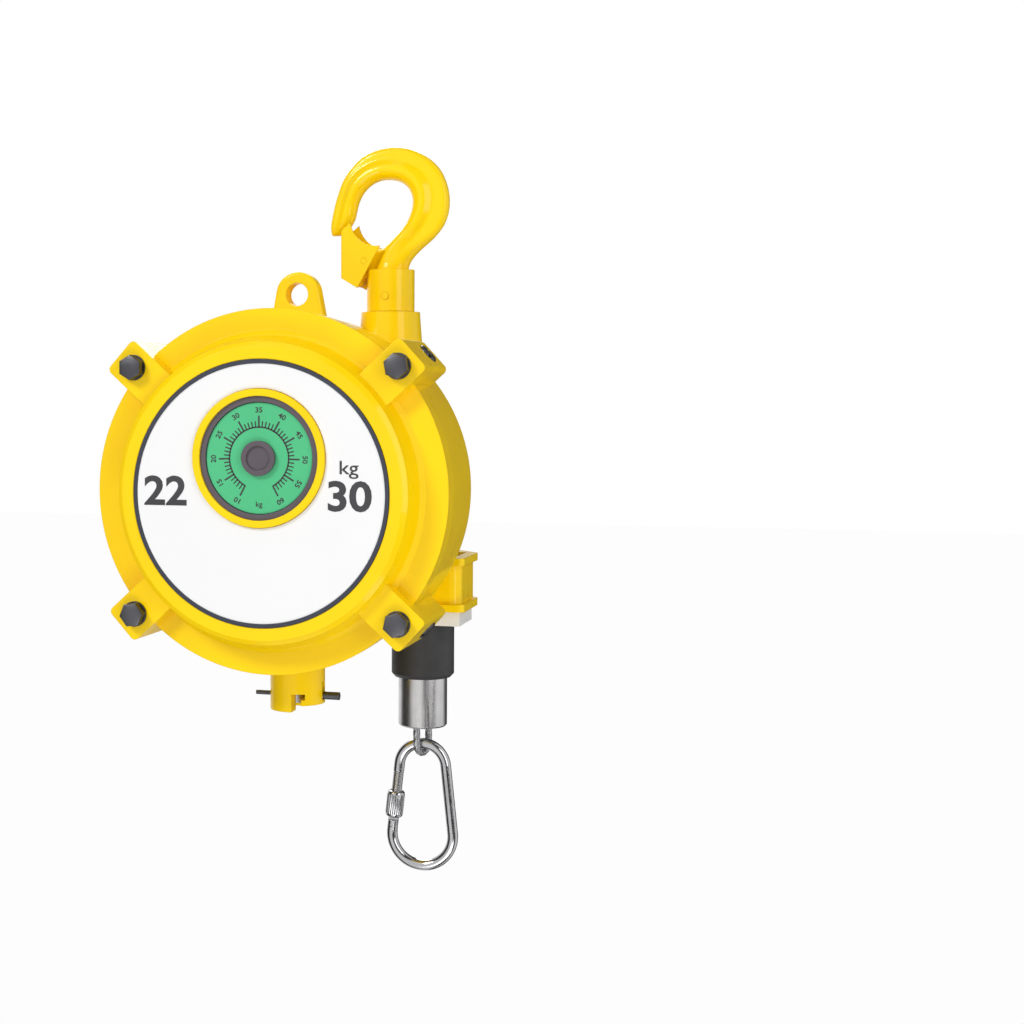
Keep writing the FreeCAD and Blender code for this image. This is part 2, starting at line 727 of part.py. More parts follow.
cover_bolts()
barrel_nuts()


# ---------------------------------------------------------------- gear housing and outlet

def gear_housing():
    """Housing of the worm gear on the flat back."""
    def shape(name, inset, low, high):
        half = box_round - inset
        box = pressed(name + "_box", [
            (inset - box_left, 0 - half), (box_shift, 0 - half), (box_shift, half),
            (inset - box_left, half)], low, high)
        end = rod(name + "_end", half, (box_shift, low, 0), high - low, "y")
        return fuse(name, box, end)

    outer = rounded("housing_soft", shape("housing_outer", 0, back_y, box_rear), box_edge,
                    lambda edge: edge.BoundBox.YMin > box_rear.value - 0.01)
    inner = shape("housing_inner", box_wall, back_y - 1, box_rear - box_wall)
    shaft_hole = rod("housing_shaft_hole", shaft_radius + running * 3,
                     (0, back_y, 0), box_rear - back_y + 1, "y")
    worm_hole = rod("housing_worm_hole", worm_neck + running,
                    (0 - worm_x, worm_y, 0 - box_round - 1), box_round * 2 + 2)
    return node(cut("gear_housing_body", outer, inner, shaft_hole, worm_hole), "gear_housing")


def rope_guide():
    """White nylon guide under the outlet, with a neck that sits in the outlet's floor."""
    plan = outlet_outline(0)
    plan = [(rope_x, plan[0][1] + 3)] + [(a - 1, b + (3 if k < 1 else -1))
                                         for k, (a, b) in enumerate(plan[1:4])]
    plan.append((rope_x, back_y - 1))
    block_end = pressed("guide_end", plan, guide_low, 0 - back_foot, "z")
    disc = rod("guide_disc", guide_radius, (rope_x, rope_y, guide_low), 0 - back_foot - guide_low)
    neck = rod("guide_neck", neck_radius, (rope_x, rope_y, -back_foot), exit_wall + 1)
    bore = rod("guide_bore", guide_bore, (rope_x, rope_y, guide_low - 1), 30)
    return node(cut("rope_guide_body", fuse("guide_solid", block_end, disc, neck), bore),
                "rope_guide")


gear_housing()
rope_guide()


# ---------------------------------------------------------------- shaft, worm and dial

def main_shaft():
    core = turned("shaft_core", [
        (0, dial_floor + fit), (journal_radius, dial_floor + fit), (journal_radius, bridge_y),
        (shaft_radius, bridge_y), (shaft_radius, shaft_rear - 1), (shaft_radius - 1, shaft_rear),
        (2, shaft_rear), (0, shaft_rear - 2)])
    return node(core, "main_shaft")


def worm_shaft():
    body = turned("worm_core", [
        (0, worm_top), (worm_neck - 0.6, worm_top), (worm_neck, worm_top - 0.6),
        (worm_neck, box_round - box_wall), (worm_radius, box_round - box_wall),
        (worm_radius, box_wall - box_round), (worm_neck, box_wall - box_round),
        (worm_neck, 0 - box_round - fit), (collar_wide, 0 - box_round - fit),
        (collar_wide, collar_low), (0, collar_low)], "z")
    hexagon = doc.addObject("Part::Prism", "worm_hex")
    hexagon.Polygon = 6
    bind(hexagon, "Circumradius", hex_flats / math.sqrt(3))
    bind(hexagon, "Height", collar_low - hex_low)
    move(hexagon, 0, 0, hex_low)
    return node(fuse("worm_shaft_body", body, hexagon), "worm_shaft", 0 - worm_x, worm_y)


main_shaft()
flat_ring("worm_wheel", shaft_radius, wheel_radius, worm_y - wheel_width / 2,
          worm_y + wheel_width / 2)
flat_ring("shaft_gear", journal_radius, gear_radius, bridge_y - 5, bridge_y - fit)
worm_shaft()

node(turned("dial_disc", [
    (spindle_radius, dial_y), (dial_radius, dial_y), (dial_radius, dial_y + dial_thick),
    (spindle_radius, dial_y + dial_thick)]), "dial_disc", z=dial_z)
node(turned("dial_hub", [
    (0, dial_y - 1.2), (hub_inner, dial_y - 1.2), (hub_inner, dial_y - 2.4),
    (hub_outer, dial_y - 2.4), (hub_outer, dial_y), (spindle_radius, dial_y),
    (spindle_radius, bridge_y - fit), (0, bridge_y - fit)]), "dial_spindle", z=dial_z)
flat_ring("dial_gear", spindle_radius, gear_radius, bridge_y - 5, bridge_y - fit, z=dial_z)


# ---------------------------------------------------------------- drum, spring and rope

def land(depth):
    """Radius of the drum between its grooves, at a depth."""
    return rope_x + (rope_y - depth) * rope_rise / rope_pitch - land_drop


def drum():
    """Conical drum with a groove for every turn and a notched locking ring in front."""
    last = rope_y - rope_pitch * (rope_turns - 1)
    ring_rear = last - drum_lead
    ring_front = ring_rear - ring_width
    tail = rope_y + drum_tail
    points = [(drum_bore, drum_front), (hub_radius, drum_front), (hub_radius, tail - drum_wall),
              (land(tail) - drum_wall * 2, tail - drum_wall),
              (spring_room, last - drum_wall), (spring_room, drum_front),
              (case_drum, drum_front), (case_drum, ring_front), (ring_radius, ring_front),
              (ring_radius, ring_rear), (land(last) + rope_rise / 2, ring_rear)]
    half = rope_radius + groove_gap
    for turn in reversed(range(rope_turns)):
        depth = rope_y - rope_pitch * turn
        floor = rope_x + rope_rise * turn - half
        points += [(land(depth - half), depth - half), (floor + half * 0.45, depth - half),
                   (floor, depth - half / 2), (floor, depth + half / 2),
                   (land(depth + half), depth + half)]
    points += [(land(tail), tail), (drum_bore, tail)]
    body = turned("drum_turned", points)
    notches = []
    for index in range(notch_count):
        notch = block("notch_%d" % index, (0, notch_depth + 1), (0, ring_width + 2), (0, notch_width))
        angle = index * 360 / notch_count
        turn = FreeCAD.Rotation(V(0, 1, 0), -angle)
        notch.Placement = FreeCAD.Placement(V(), turn)
        reach = ring_radius - notch_depth
        cosine, sine = math.cos(math.radians(angle)), math.sin(math.radians(angle))
        notches.append(move(notch, reach * cosine + notch_width * sine / 2, ring_front - 1,
                            reach * sine - notch_width * cosine / 2))
    return node(cut("drum_body", body, *notches), "rope_drum")


def rope_coil():
    """The rope on the drum: one ring of six flats for every turn.

    The last ring is open below the point where the rope leaves the drum.
    """
    rings = []
    for turn in range(rope_turns):
        radius = rope_x + rope_rise * turn
        depth = rope_y - rope_pitch * turn
        points = [(radius + rope_radius * math.cos(math.radians(60 * k)),
                   depth + rope_radius * math.sin(math.radians(60 * k))) for k in range(6)]
        rings.append(turned("rope_turn_%d" % turn, points, angle=360 if turn else 330))
    return node(group("rope_turns", rings), "rope_coil")


def mainspring():
    """Flat spiral spring between the shaft and the drum, in half-circle steps."""
    step = (spring_outer.value - spring_inner.value) / (spring_turns * 2)
    near = drum_front.value + spring_cover.value + 2

    def spiral(offset):
        """Half circles whose ends lie on the X axis, each one a step wider."""
        ends = [V((1 if k % 2 == 0 else -1) * (spring_inner.value + step * k + offset), near, 0)
                for k in range(spring_turns * 2 + 1)]
        arcs = []
        for k, (first, last) in enumerate(zip(ends, ends[1:])):
            reach = (first - last).Length / 2 * (1 if k % 2 == 0 else -1)
            crown = (first + last) / 2 + V(0, 0, reach)
            arcs.append(Part.Arc(first, crown, last).toShape())
        return arcs, ends[0], ends[-1]

    inner, inner_start, inner_end = spiral(0)
    outer, outer_start, outer_end = spiral(spring_strip.value)
    wire = Part.Wire(inner + [Part.makeLine(inner_end, outer_end)] + outer[::-1]
                     + [Part.makeLine(outer_start, inner_start)])
    return shaped("mainspring", Part.Face(wire).extrude(V(0, spring_width.value, 0)))


drum()
rope_coil()
mainspring()
flat_ring("spring_cover", hub_radius + fit, spring_room - fit, drum_front, drum_front + spring_cover)
flat_ring("drum_bush_front", shaft_radius + running, drum_bore, drum_front, drum_front + bush_length)
flat_ring("drum_bush_rear", shaft_radius + running, drum_bore,
          rope_y + drum_tail - bush_length, rope_y + drum_tail)


# ---------------------------------------------------------------- rope end and carabiner

node(rod("rope_run_rod", rope_radius, (0, 0, 0), 0 - buffer_low - fit), "rope_run",
     rope_x, rope_y, buffer_low + fit)
node(turned("buffer_turned", [
    (rope_radius + fit, guide_low - fit), (buffer_radius, guide_low - fit),
    (buffer_radius, buffer_low + 2.5), (buffer_radius - 2, buffer_low + fit),
    (rope_radius + fit, buffer_low + fit)], "z"), "rubber_buffer", rope_x, rope_y)
node(turned("sleeve_turned", [
    (0, buffer_low + fit), (sleeve_radius, buffer_low + fit), (sleeve_radius, sleeve_low + 1),
    (sleeve_radius - 1, sleeve_low), (0, sleeve_low)], "z"), "rope_sleeve", rope_x, rope_y)


def eye_reach():
    """Radius of the rope's loop round the carabiner."""
    return ring_rod.value + rope_radius.value + 0.15


def rope_eye():
    """Loop of rope under the sleeve, round the top of the carabiner."""
    reach = eye_reach()
    centre = ring_top.value - ring_rod.value
    top = sleeve_low.value
    path = Part.Wire([
        Part.makeLine(V(0, -reach, top), V(0, -reach, centre)),
        Part.Arc(V(0, -reach, centre), V(0, 0, centre - reach), V(0, reach, centre)).toShape(),
        Part.makeLine(V(0, reach, centre), V(0, reach, top))])
    section = Part.Wire([Part.makeCircle(rope_radius.value, V(0, -reach, top), V(0, 0, -1))])
    return shaped("rope_eye", path.makePipeShell([section], True, True), rope_x, rope_y)


def ring_points():
    """Centre line of the pear-shaped carabiner: its two circles and where they meet the sides."""
    rod_half, upper, lower = ring_rod.value, ring_upper.value, ring_lower.value
    top = ring_top.value - rod_half - upper
    low = ring_top.value - ring_length.value + rod_half + lower
    slope = math.asin((lower - upper) / (top - low))
    out, up = math.cos(slope), math.sin(slope)
    return {"top": V(0, 0, top), "low": V(0, 0, low),
            "upper": V(upper * out, 0, top + upper * up),
            "lower": V(lower * out, 0, low + lower * up)}


def mirrored(point):
    return V(-point.x, point.y, point.z)


def along(first, second, share):
    return first + (second - first) * share


def carabiner_ring():
    """Bent rod from the nose, over the top and round to the gate's hinge."""
    at = ring_points()
    nose = along(mirrored(at["upper"]), mirrored(at["lower"]), nose_share.value)
    hinge = along(mirrored(at["upper"]), mirrored(at["lower"]), hinge_share.value)
    path = Part.Wire([
        Part.makeLine(nose, mirrored(at["upper"])),
        Part.Arc(mirrored(at["upper"]), at["top"] + V(0, 0, ring_upper.value),
                 at["upper"]).toShape(),
        Part.makeLine(at["upper"], at["lower"]),
        Part.Arc(at["lower"], at["low"] - V(0, 0, ring_lower.value),
                 mirrored(at["lower"])).toShape(),
        Part.makeLine(mirrored(at["lower"]), hinge)])
    heading = mirrored(at["upper"]) - nose
    section = Part.Wire([Part.makeCircle(ring_rod.value, nose, heading)])
    bent = path.makePipeShell([section], True, True)
    slot = Part.makeBox(ring_rod.value * 3, gate_tongue.value * 2, ring_rod.value * 3.2)
    slot.translate(hinge - V(ring_rod.value * 1.5, gate_tongue.value, ring_rod.value * 2.2))
    pin_hole = Part.makeCylinder(gate_pin.value + running.value, ring_rod.value * 3,
                                 gate_pivot() - V(0, ring_rod.value * 1.5, 0), V(0, 1, 0))
    return shaped("carabiner_ring", bent.cut(slot).cut(pin_hole), rope_x, rope_y)


def gate_line():
    """Unit vector down the gate, and the gate's upper and lower ends."""
    at = ring_points()
    first = along(mirrored(at["upper"]), mirrored(at["lower"]), nose_share.value)
    second = along(mirrored(at["upper"]), mirrored(at["lower"]), hinge_share.value)
    down = (second - first).normalize()
    return down, first, second


def gate_pivot():
    down, first, second = gate_line()
    return second + down * ring_rod.value * 0.9


def carabiner_gate():
    """Straight gate with a thin tongue at its hinge."""
    down, first, second = gate_line()
    start = first + down * fit.value
    length = (second - start).Length - hinge_gap.value
    barrel = Part.makeCylinder(ring_rod.value * 0.92, length, start, down)
    pivot = gate_pivot()
    width = gate_tongue.value - running.value * 2
    tongue = Part.makeCylinder(ring_rod.value * 0.9, width * 2, pivot - V(0, width, 0), V(0, 1, 0))
    strip = Part.makeBox(ring_rod.value * 1.8, width * 2, ring_rod.value * 3)
    strip.translate(V(-ring_rod.value * 0.9, -width, 0))
    strip.Placement = FreeCAD.Placement(pivot, FreeCAD.Rotation(V(0, 0, -1), down)).multiply(
        strip.Placement)
    hole = Part.makeCylinder(gate_pin.value + running.value, width * 4,
                             pivot - V(0, width * 2, 0), V(0, 1, 0))
    return shaped("carabiner_gate", barrel.fuse(tongue).fuse(strip).removeSplitter().cut(hole),
                  rope_x, rope_y)


def lock_sleeve():
    """Screw sleeve on the gate, slid down so that the gate can open."""
    down, first, second = gate_line()
    start = first + down * sleeve_drop.value
    tube = Part.makeCylinder(lock_radius.value, lock_length.value, start, down)
    bore = Part.makeCylinder(ring_rod.value + running.value, lock_length.value + 2, start - down,
                             down)
    return shaped("lock_sleeve", tube.cut(bore), rope_x, rope_y)


rope_eye()
carabiner_ring()
carabiner_gate()
lock_sleeve()
pivot_pin = Part.makeCylinder(gate_pin.value, ring_rod.value * 1.7,
                              gate_pivot() - V(0, ring_rod.value * 0.85, 0), V(0, 1, 0))
shaped("gate_rivet", pivot_pin, rope_x, rope_y)


# ---------------------------------------------------------------- drum lock

def lock_plunger():
    core = turned("plunger_turned", [
        (0, plunger_low), (plunger_radius, plunger_low), (plunger_radius, plunger_shoulder),
        (plunger_tip, plunger_shoulder), (plunger_tip, tip_z - 1), (plunger_tip - 1, tip_z),
        (0, tip_z)], "z")
    hole = rod("plunger_cross", pin_thin + running, (0 - plunger_radius - 1, 0, pin_z),
               plunger_radius * 2 + 2, "x")
    wide = rod("plunger_cross_wide", pin_thick + running, (0, 0, pin_z), plunger_radius + 1, "x")
    return node(cut("plunger_body", core, hole, wide), "lock_plunger", boss_x, boss_y)


lock_plunger()
thin_end = rod("pin_thin_end", pin_thin, (0 - pin_reach, 0, pin_z), pin_reach, "x")
thick_end = rod("pin_thick_end", pin_thick, (0, 0, pin_z), pin_reach, "x")
node(fuse("cross_pin_body", thin_end, thick_end), "cross_pin", boss_x, boss_y)


# ---------------------------------------------------------------- hook and latch

def arc(first, middle, last):
    return Part.Arc(V(first[0], 0, first[1]), V(middle[0], 0, middle[1]),
                    V(last[0], 0, last[1])).toShape()


def line(first, last):
    return Part.makeLine(V(first[0], 0, first[1]), V(last[0], 0, last[1]))


def slab(edges, thick):
    face = Part.Face(Part.Wire(edges))
    solid = face.extrude(V(0, thick, 0))
    solid.translate(V(0, -thick / 2, 0))
    return solid


def suspension_hook():
    """Forged hook: a flat outer web, a thick inner bead, a shank and an ear for the latch.

    Points are X, Z from the seat of the hook.
    """
    neck = collar_top.value + fit.value - hook_z.value
    inner = [arc((-5.7, -39.2), (4.6, -31), (12, -20)), arc((12, -20), (-3.5, 0), (-19.4, -12)),
             line((-19.4, -12), (-21.5, -22.5))]
    ear = [line((-7.5, neck), (-14.4, neck)), line((-14.4, neck), (-15.6, neck - 8.2)),
           arc((-15.6, neck - 8.2), (-21.6, neck - 8.2), (-22.4, neck - 2.4)),
           line((-22.4, neck - 2.4), (-20.5, -45)), line((-20.5, -45), (-14, -40.5)),
           line((-14, -40.5), (-5.7, -39.2))]
    tip = [line((-21.5, -22.5), (-29, -31)), arc((-29, -31), (-33.5, -32), (-36, -28))]
    outer = [arc((-36, -28), (-32.3, -10), (-23, 9)), arc((-23, 9), (1, 19), (34.3, -12)),
             arc((34.3, -12), (31.5, -26), (23.5, -35)),
             arc((23.5, -35), (14.5, -43.5), (10.5, neck)), line((10.5, neck), (-7.5, neck))]
    web = slab(ear + inner + tip + outer, web_thick.value)
    bead_outer = [arc((-32, -25), (-26.5, -4.5), (-13.5, 8.5)),
                  arc((-13.5, 8.5), (7.5, 6.8), (21.5, -14)),
                  arc((21.5, -14), (17.5, -28), (8, -41)), line((8, -41), (-1, -45)),
                  line((-1, -45), (-5.7, -39.2))]
    bead = slab(inner + [line((-21.5, -22.5), (-29, -31)), line((-29, -31), (-32, -25))]
                + bead_outer, hook_thick.value)
    throat = Part.makeCylinder(swivel_radius.value + 1, 12, V(0, 0, neck))
    flats = Part.makeBox(60, hook_thick.value, 60, V(-30, -hook_thick.value / 2, neck - 1))
    throat = throat.common(flats)
    shank_low = tower_top.value - head_depth.value - nut_height.value - 1.5 - hook_z.value
    shank = Part.makeCylinder(swivel_radius.value, neck - shank_low + 6, V(0, 0, shank_low))
    pin_hole = Part.makeCylinder(pin_cross.value + running.value, 40,
                                 V(0, -20, cross_z.value - hook_z.value), V(0, 1, 0))
    pivot_hole = Part.makeCylinder(latch_pin.value + running.value, 40,
                                   V(latch_x.value, -20, latch_z.value), V(0, 1, 0))
    form = web.fuse([bead, throat, shank]).removeSplitter().cut([pin_hole, pivot_hole])
    return shaped("suspension_hook", form, hook_x, hook_y, hook_z)


def hook_latch():
    """Latch folded from sheet: two cheeks joined by a rounded back."""
    top, heel, toe, foot = (-27.4, -29.8), (-21.8, -25), (-4, -38.5), (-17.5, -62.5)
    back = (-27.4, -56.5)
    outline = [line(back, top), line(top, heel), arc(heel, (-17, -34), toe), line(toe, foot),
               line(foot, back)]
    width = latch_gap.value + 2 * latch_sheet.value
    solid = slab(outline, width)
    room = Part.makeBox(60, latch_gap.value, 60)
    room.translate(V(back[0] + latch_sheet.value, -latch_gap.value / 2, -70))
    pivot_hole = Part.makeCylinder(latch_pin.value + running.value, 40,
                                   V(latch_x.value, -20, latch_z.value), V(0, 1, 0))
    solid = solid.cut([room, pivot_hole])
    backs = [edge for edge in solid.Edges if abs(edge.CenterOfMass.x - back[0]) < 0.01
             and abs(abs(edge.CenterOfMass.y) - width / 2) < 0.01]
    return shaped("hook_latch", solid.makeFillet(latch_sheet.value, backs), hook_x, hook_y, hook_z)


suspension_hook()
hook_latch()
latch_span = latch_gap + latch_sheet * 2
node(rod("latch_pin_rod", latch_pin, (0, 0, 0), latch_span, "y"), "latch_pin",
     hook_x + latch_x, hook_y - latch_span / 2, hook_z + latch_z)
collar_tube = ring("collar_tube", swivel_radius + running, collar_radius, tower_top + fit,
                   collar_top, "z")
collar_hole = rod("collar_hole", pin_cross + running, (0, 0 - collar_radius - 1, cross_z),
                  collar_radius * 2 + 2, "y")
node(cut("collar_body", collar_tube, collar_hole), "swivel_collar", hook_x, hook_y)
pin_span = collar_radius * 2 + 0.6
node(rod("collar_pin_rod", pin_cross, (0, 0, 0), pin_span, "y"), "collar_pin",
     hook_x, hook_y - pin_span / 2, cross_z)
nut_top = tower_top - head_depth - washer_thick - running * 2
node(ring("swivel_washer_ring", swivel_radius + running, head_radius + 0.5,
          nut_top, nut_top + washer_thick, "z"), "swivel_washer", hook_x, hook_y)
node(ring("swivel_nut_ring", swivel_radius + running, head_radius, nut_top - nut_height,
          nut_top - running, "z"), "swivel_nut", hook_x, hook_y)


# ---------------------------------------------------------------- build, check and write

doc.recompute()
broken = [obj.Label for obj in doc.Objects if "Invalid" in obj.State or "Error" in obj.State]
if broken:
    raise RuntimeError("failed objects: %s" % ", ".join(broken))
for label, obj in nodes.items():
    if obj.Shape.isNull() or not obj.Shape.isValid() or not obj.Shape.Solids:
        raise RuntimeError("bad shape: %s" % label)
os.makedirs("parts", exist_ok=True)
for label, obj in nodes.items():
    obj.Shape.exportStep("parts/%s.step" % label)
    print("%-18s %2d solids %10.0f mm3" % (label, len(obj.Shape.Solids), obj.Shape.Volume))
print(len(nodes), "nodes")
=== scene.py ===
"""Looks of the tool balancer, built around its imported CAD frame.

Pieces are drawn in millimetres from the centre of the case, with Y along its axis and the dial
towards -Y, and are brought into the row's metres by settle().
"""
import json
import math

import bmesh
import bpy
from mathutils import Matrix, Vector


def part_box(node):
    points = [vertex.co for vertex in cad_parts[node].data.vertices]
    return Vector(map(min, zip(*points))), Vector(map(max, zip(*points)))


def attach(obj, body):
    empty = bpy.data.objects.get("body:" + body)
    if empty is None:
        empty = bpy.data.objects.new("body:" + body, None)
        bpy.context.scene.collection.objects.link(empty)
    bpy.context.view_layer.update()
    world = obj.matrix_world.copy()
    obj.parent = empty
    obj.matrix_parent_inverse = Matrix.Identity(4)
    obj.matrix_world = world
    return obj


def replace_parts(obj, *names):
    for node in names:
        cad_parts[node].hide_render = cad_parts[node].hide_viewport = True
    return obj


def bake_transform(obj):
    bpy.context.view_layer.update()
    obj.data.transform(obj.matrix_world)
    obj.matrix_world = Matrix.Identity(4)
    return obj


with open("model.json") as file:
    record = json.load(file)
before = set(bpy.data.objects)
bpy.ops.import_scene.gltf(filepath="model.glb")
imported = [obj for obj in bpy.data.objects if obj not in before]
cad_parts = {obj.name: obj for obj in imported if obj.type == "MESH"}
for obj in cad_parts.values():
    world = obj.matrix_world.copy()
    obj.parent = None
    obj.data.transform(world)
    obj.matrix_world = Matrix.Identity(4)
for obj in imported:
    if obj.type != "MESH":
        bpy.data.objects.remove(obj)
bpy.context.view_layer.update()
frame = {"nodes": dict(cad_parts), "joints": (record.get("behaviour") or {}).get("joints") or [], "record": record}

MM = 0.001
FULL = 2 * math.pi
QUARTER = math.pi / 2
JOINT = {joint["name"]: joint for joint in frame["joints"]}
AXIS = Vector(JOINT["shaft_turn"]["pos_m"])
WORM = Vector(JOINT["worm_turn"]["pos_m"])
WORM_BEHIND = 82 * MM
CASE = Vector((AXIS.x, WORM.y - WORM_BEHIND, AXIS.z))
SEAT = -CASE / MM                # where the hook carries, from the case's centre


# ---------------------------------------------------------------- finishes
NOISE_LOW, NOISE_HIGH = 0.3, 0.7     # the part of a noise's range that is spread out


class Finish:
    """A node material under construction, with Object coordinates to hand."""

    def __init__(self, name):
        self.made = bpy.data.materials.new(name)
        self.made.use_nodes = True
        self.tree = self.made.node_tree
        self.shader = self.tree.nodes["Principled BSDF"]
        self.place = self.node("ShaderNodeTexCoord").outputs["Object"]

    def node(self, kind, **values):
        made = self.tree.nodes.new(kind)
        for key, value in values.items():
            setattr(made, key, value)
        return made

    def wire(self, source, target):
        self.tree.links.new(source, target)

    def sockets(self, **values):
        for key, value in values.items():
            self.shader.inputs[key.replace("_", " ")].default_value = value

    def noise(self, scale, detail, stretch=None):
        made = self.node("ShaderNodeTexNoise")
        made.inputs["Scale"].default_value = scale
        made.inputs["Detail"].default_value = detail
        made.inputs["Roughness"].default_value = 0.55
        source = self.place
        if stretch:
            mapping = self.node("ShaderNodeMapping")
            mapping.inputs["Scale"].default_value = stretch
            self.wire(source, mapping.inputs["Vector"])
            source = mapping.outputs["Vector"]
        self.wire(source, made.inputs["Vector"])
        return made.outputs["Fac"]

    def span(self, source, low, high):
        made = self.node("ShaderNodeMapRange")
        for socket, value in zip(("From Min", "From Max", "To Min", "To Max"),
                                 (NOISE_LOW, NOISE_HIGH, low, high)):
            made.inputs[socket].default_value = value
        self.wire(source, made.inputs["Value"])
        return made.outputs["Result"]

    def colours(self, source, first, second):
        ramp = self.node("ShaderNodeValToRGB")
        for element, place, colour in zip(ramp.color_ramp.elements, (NOISE_LOW, NOISE_HIGH),
                                          (first, second)):
            element.position = place
            element.color = (*colour, 1)
        self.wire(source, ramp.inputs["Fac"])
        return ramp.outputs["Color"]

    def relief(self, source, height, strength, soften):
        """Bump of a height in millimetres over edges softened by a radius in millimetres."""
        made = self.node("ShaderNodeBump")
        made.inputs["Distance"].default_value = height * MM
        made.inputs["Strength"].default_value = strength
        self.wire(source, made.inputs["Height"])
        if soften:
            edge = self.node("ShaderNodeBevel", samples=6)
            edge.inputs["Radius"].default_value = soften * MM
            self.wire(edge.outputs["Normal"], made.inputs["Normal"])
        self.wire(made.outputs["Normal"], self.shader.inputs["Normal"])


def paint(name, colour, shade, soften):
    """Thick glossy enamel over a casting: orange peel, slight tone drift, rubbed dull spots."""
    f = Finish(name)
    f.wire(f.colours(f.noise(18, 3), shade, colour), f.shader.inputs["Base Color"])
    f.wire(f.span(f.noise(90, 6), 0.26, 0.38), f.shader.inputs["Roughness"])
    f.sockets(Coat_Weight=0.35, Coat_Roughness=0.05, Specular_IOR_Level=0.12)
    f.relief(f.noise(260, 2), 0.03, 0.4, soften)
    return f.made


def metal(name, colour, shade, rough, soften=0.3, grain=None, height=0.02, scale=250):
    """Bare or plated metal with handling marks; grain stretches the marks into brushing."""
    f = Finish(name)
    f.wire(f.colours(f.noise(60, 5), shade, colour), f.shader.inputs["Base Color"])
    marks = f.noise(scale, 5, grain)
    f.wire(f.span(marks, rough * 0.7, rough * 1.4), f.shader.inputs["Roughness"])
    f.sockets(Metallic=1.0)
    f.relief(marks, height, 0.4, soften)
    return f.made


def plastic(name, colour, shade, rough, soften=0.3, height=0.02, wear=1.0):
    """Moulded, lacquered or printed surface; wear is how much its gloss varies."""
    f = Finish(name)
    f.wire(f.colours(f.noise(40, 5), shade, colour), f.shader.inputs["Base Color"])
    f.wire(f.span(f.noise(120, 6), rough * (1 - 0.15 * wear), rough * (1 + 0.2 * wear)),
           f.shader.inputs["Roughness"])
    f.relief(f.noise(500, 3), height, 0.5, soften)
    return f.made


YELLOW = (1.0, 0.69, 0.0)
YELLOW_SHADE = (0.96, 0.63, 0.0)
FINISHES = {
    "yellow_casting": paint("yellow_enamel_on_casting", YELLOW, YELLOW_SHADE, 0.9),
    "yellow_steel": paint("yellow_enamel_on_forging", YELLOW, YELLOW_SHADE, 0.7),
    "plate_white": plastic("white_printed_plate", (0.86, 0.86, 0.86), (0.85, 0.85, 0.85), 0.36,
                           height=0.003, wear=0.3),
    "trim_dark": plastic("dark_navy_trim", (0.035, 0.040, 0.062), (0.025, 0.028, 0.045), 0.45),
    "dial_grey": plastic("grey_dial_ring", (0.105, 0.085, 0.100), (0.085, 0.070, 0.082), 0.40),
    "dial_green": plastic("green_dial_lacquer", (0.075, 0.52, 0.225), (0.068, 0.48, 0.205), 0.32),
    "bolt_steel": metal("black_oxide_steel", (0.125, 0.125, 0.135), (0.085, 0.085, 0.095), 0.38),
    "bare_steel": metal("turned_steel", (0.56, 0.56, 0.57), (0.44, 0.44, 0.45), 0.30),
    "bronze": metal("bush_bronze", (0.62, 0.40, 0.18), (0.52, 0.33, 0.14), 0.35),
    "nylon": plastic("white_nylon", (0.82, 0.82, 0.82), (0.78, 0.78, 0.77), 0.42),
    "rubber": plastic("black_rubber", (0.020, 0.020, 0.022), (0.030, 0.030, 0.032), 0.55, 0.6),
    "brushed_steel": metal("brushed_steel_tube", (0.62, 0.61, 0.61), (0.50, 0.49, 0.49), 0.26,
                           grain=(6, 6, 0.15), height=0.03, scale=160),
    "wire_rope": metal("galvanised_rope_wire", (0.52, 0.52, 0.53), (0.30, 0.30, 0.31), 0.40,
                       soften=0),
    "drum_casting": metal("drum_cast_aluminium", (0.24, 0.24, 0.25), (0.17, 0.17, 0.18), 0.55,
                          height=0.06, scale=300),
    "plated_steel": metal("bright_plated_steel", (0.50, 0.50, 0.51), (0.42, 0.42, 0.43), 0.14),
    "ink": plastic("printing_ink", (0.045, 0.043, 0.048), (0.035, 0.033, 0.038), 0.45),
    "spring_steel": metal("blued_spring_strip", (0.10, 0.11, 0.14), (0.07, 0.07, 0.09), 0.35),
}
for sub in frame["record"]["subparts"]:
    shown = frame["nodes"][sub["node"]]
    shown.data.materials.clear()
    shown.data.materials.append(FINISHES[sub["material_slot"]])


# ---------------------------------------------------------------- making pieces
ON_AXIS = 0.01                   # the smallest radius of a turned profile


def case_box(node):
    """The two corners of a CAD node's box, in case millimetres."""
    return [(corner - CASE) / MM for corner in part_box(node)]


def linked(name, data):
    """A new object in the scene that holds some data."""
    holder = bpy.data.objects.new(name, data)
    bpy.context.collection.objects.link(holder)
    return holder


def shown_mesh(holder):
    """The mesh of an object as its curve settings or modifiers leave it."""
    bpy.context.view_layer.update()
    graph = bpy.context.evaluated_depsgraph_get()
    return bpy.data.meshes.new_from_object(holder.evaluated_get(graph))


def settle(shape, name, body, slot, smooth=40, finish=None):
    """Bring a bmesh in case millimetres to the row's metres as a finished piece on a body."""
    shape.transform(Matrix.Translation(CASE) @ Matrix.Scale(MM, 4))
    mesh = bpy.data.meshes.new(name)
    shape.to_mesh(mesh)
    shape.free()
    piece = linked(name, mesh)
    mesh.materials.append(FINISHES[finish or slot])
    mesh.shade_smooth()
    mesh.set_sharp_from_angle(angle=math.radians(smooth))
    if body:
        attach(piece, body)
    return piece


def verts_of(items):
    return [item for item in items if isinstance(item, bmesh.types.BMVert)]


def edges_of(items):
    return [item for item in items if isinstance(item, bmesh.types.BMEdge)]


def everything(shape):
    return shape.verts[:] + shape.edges[:] + shape.faces[:]


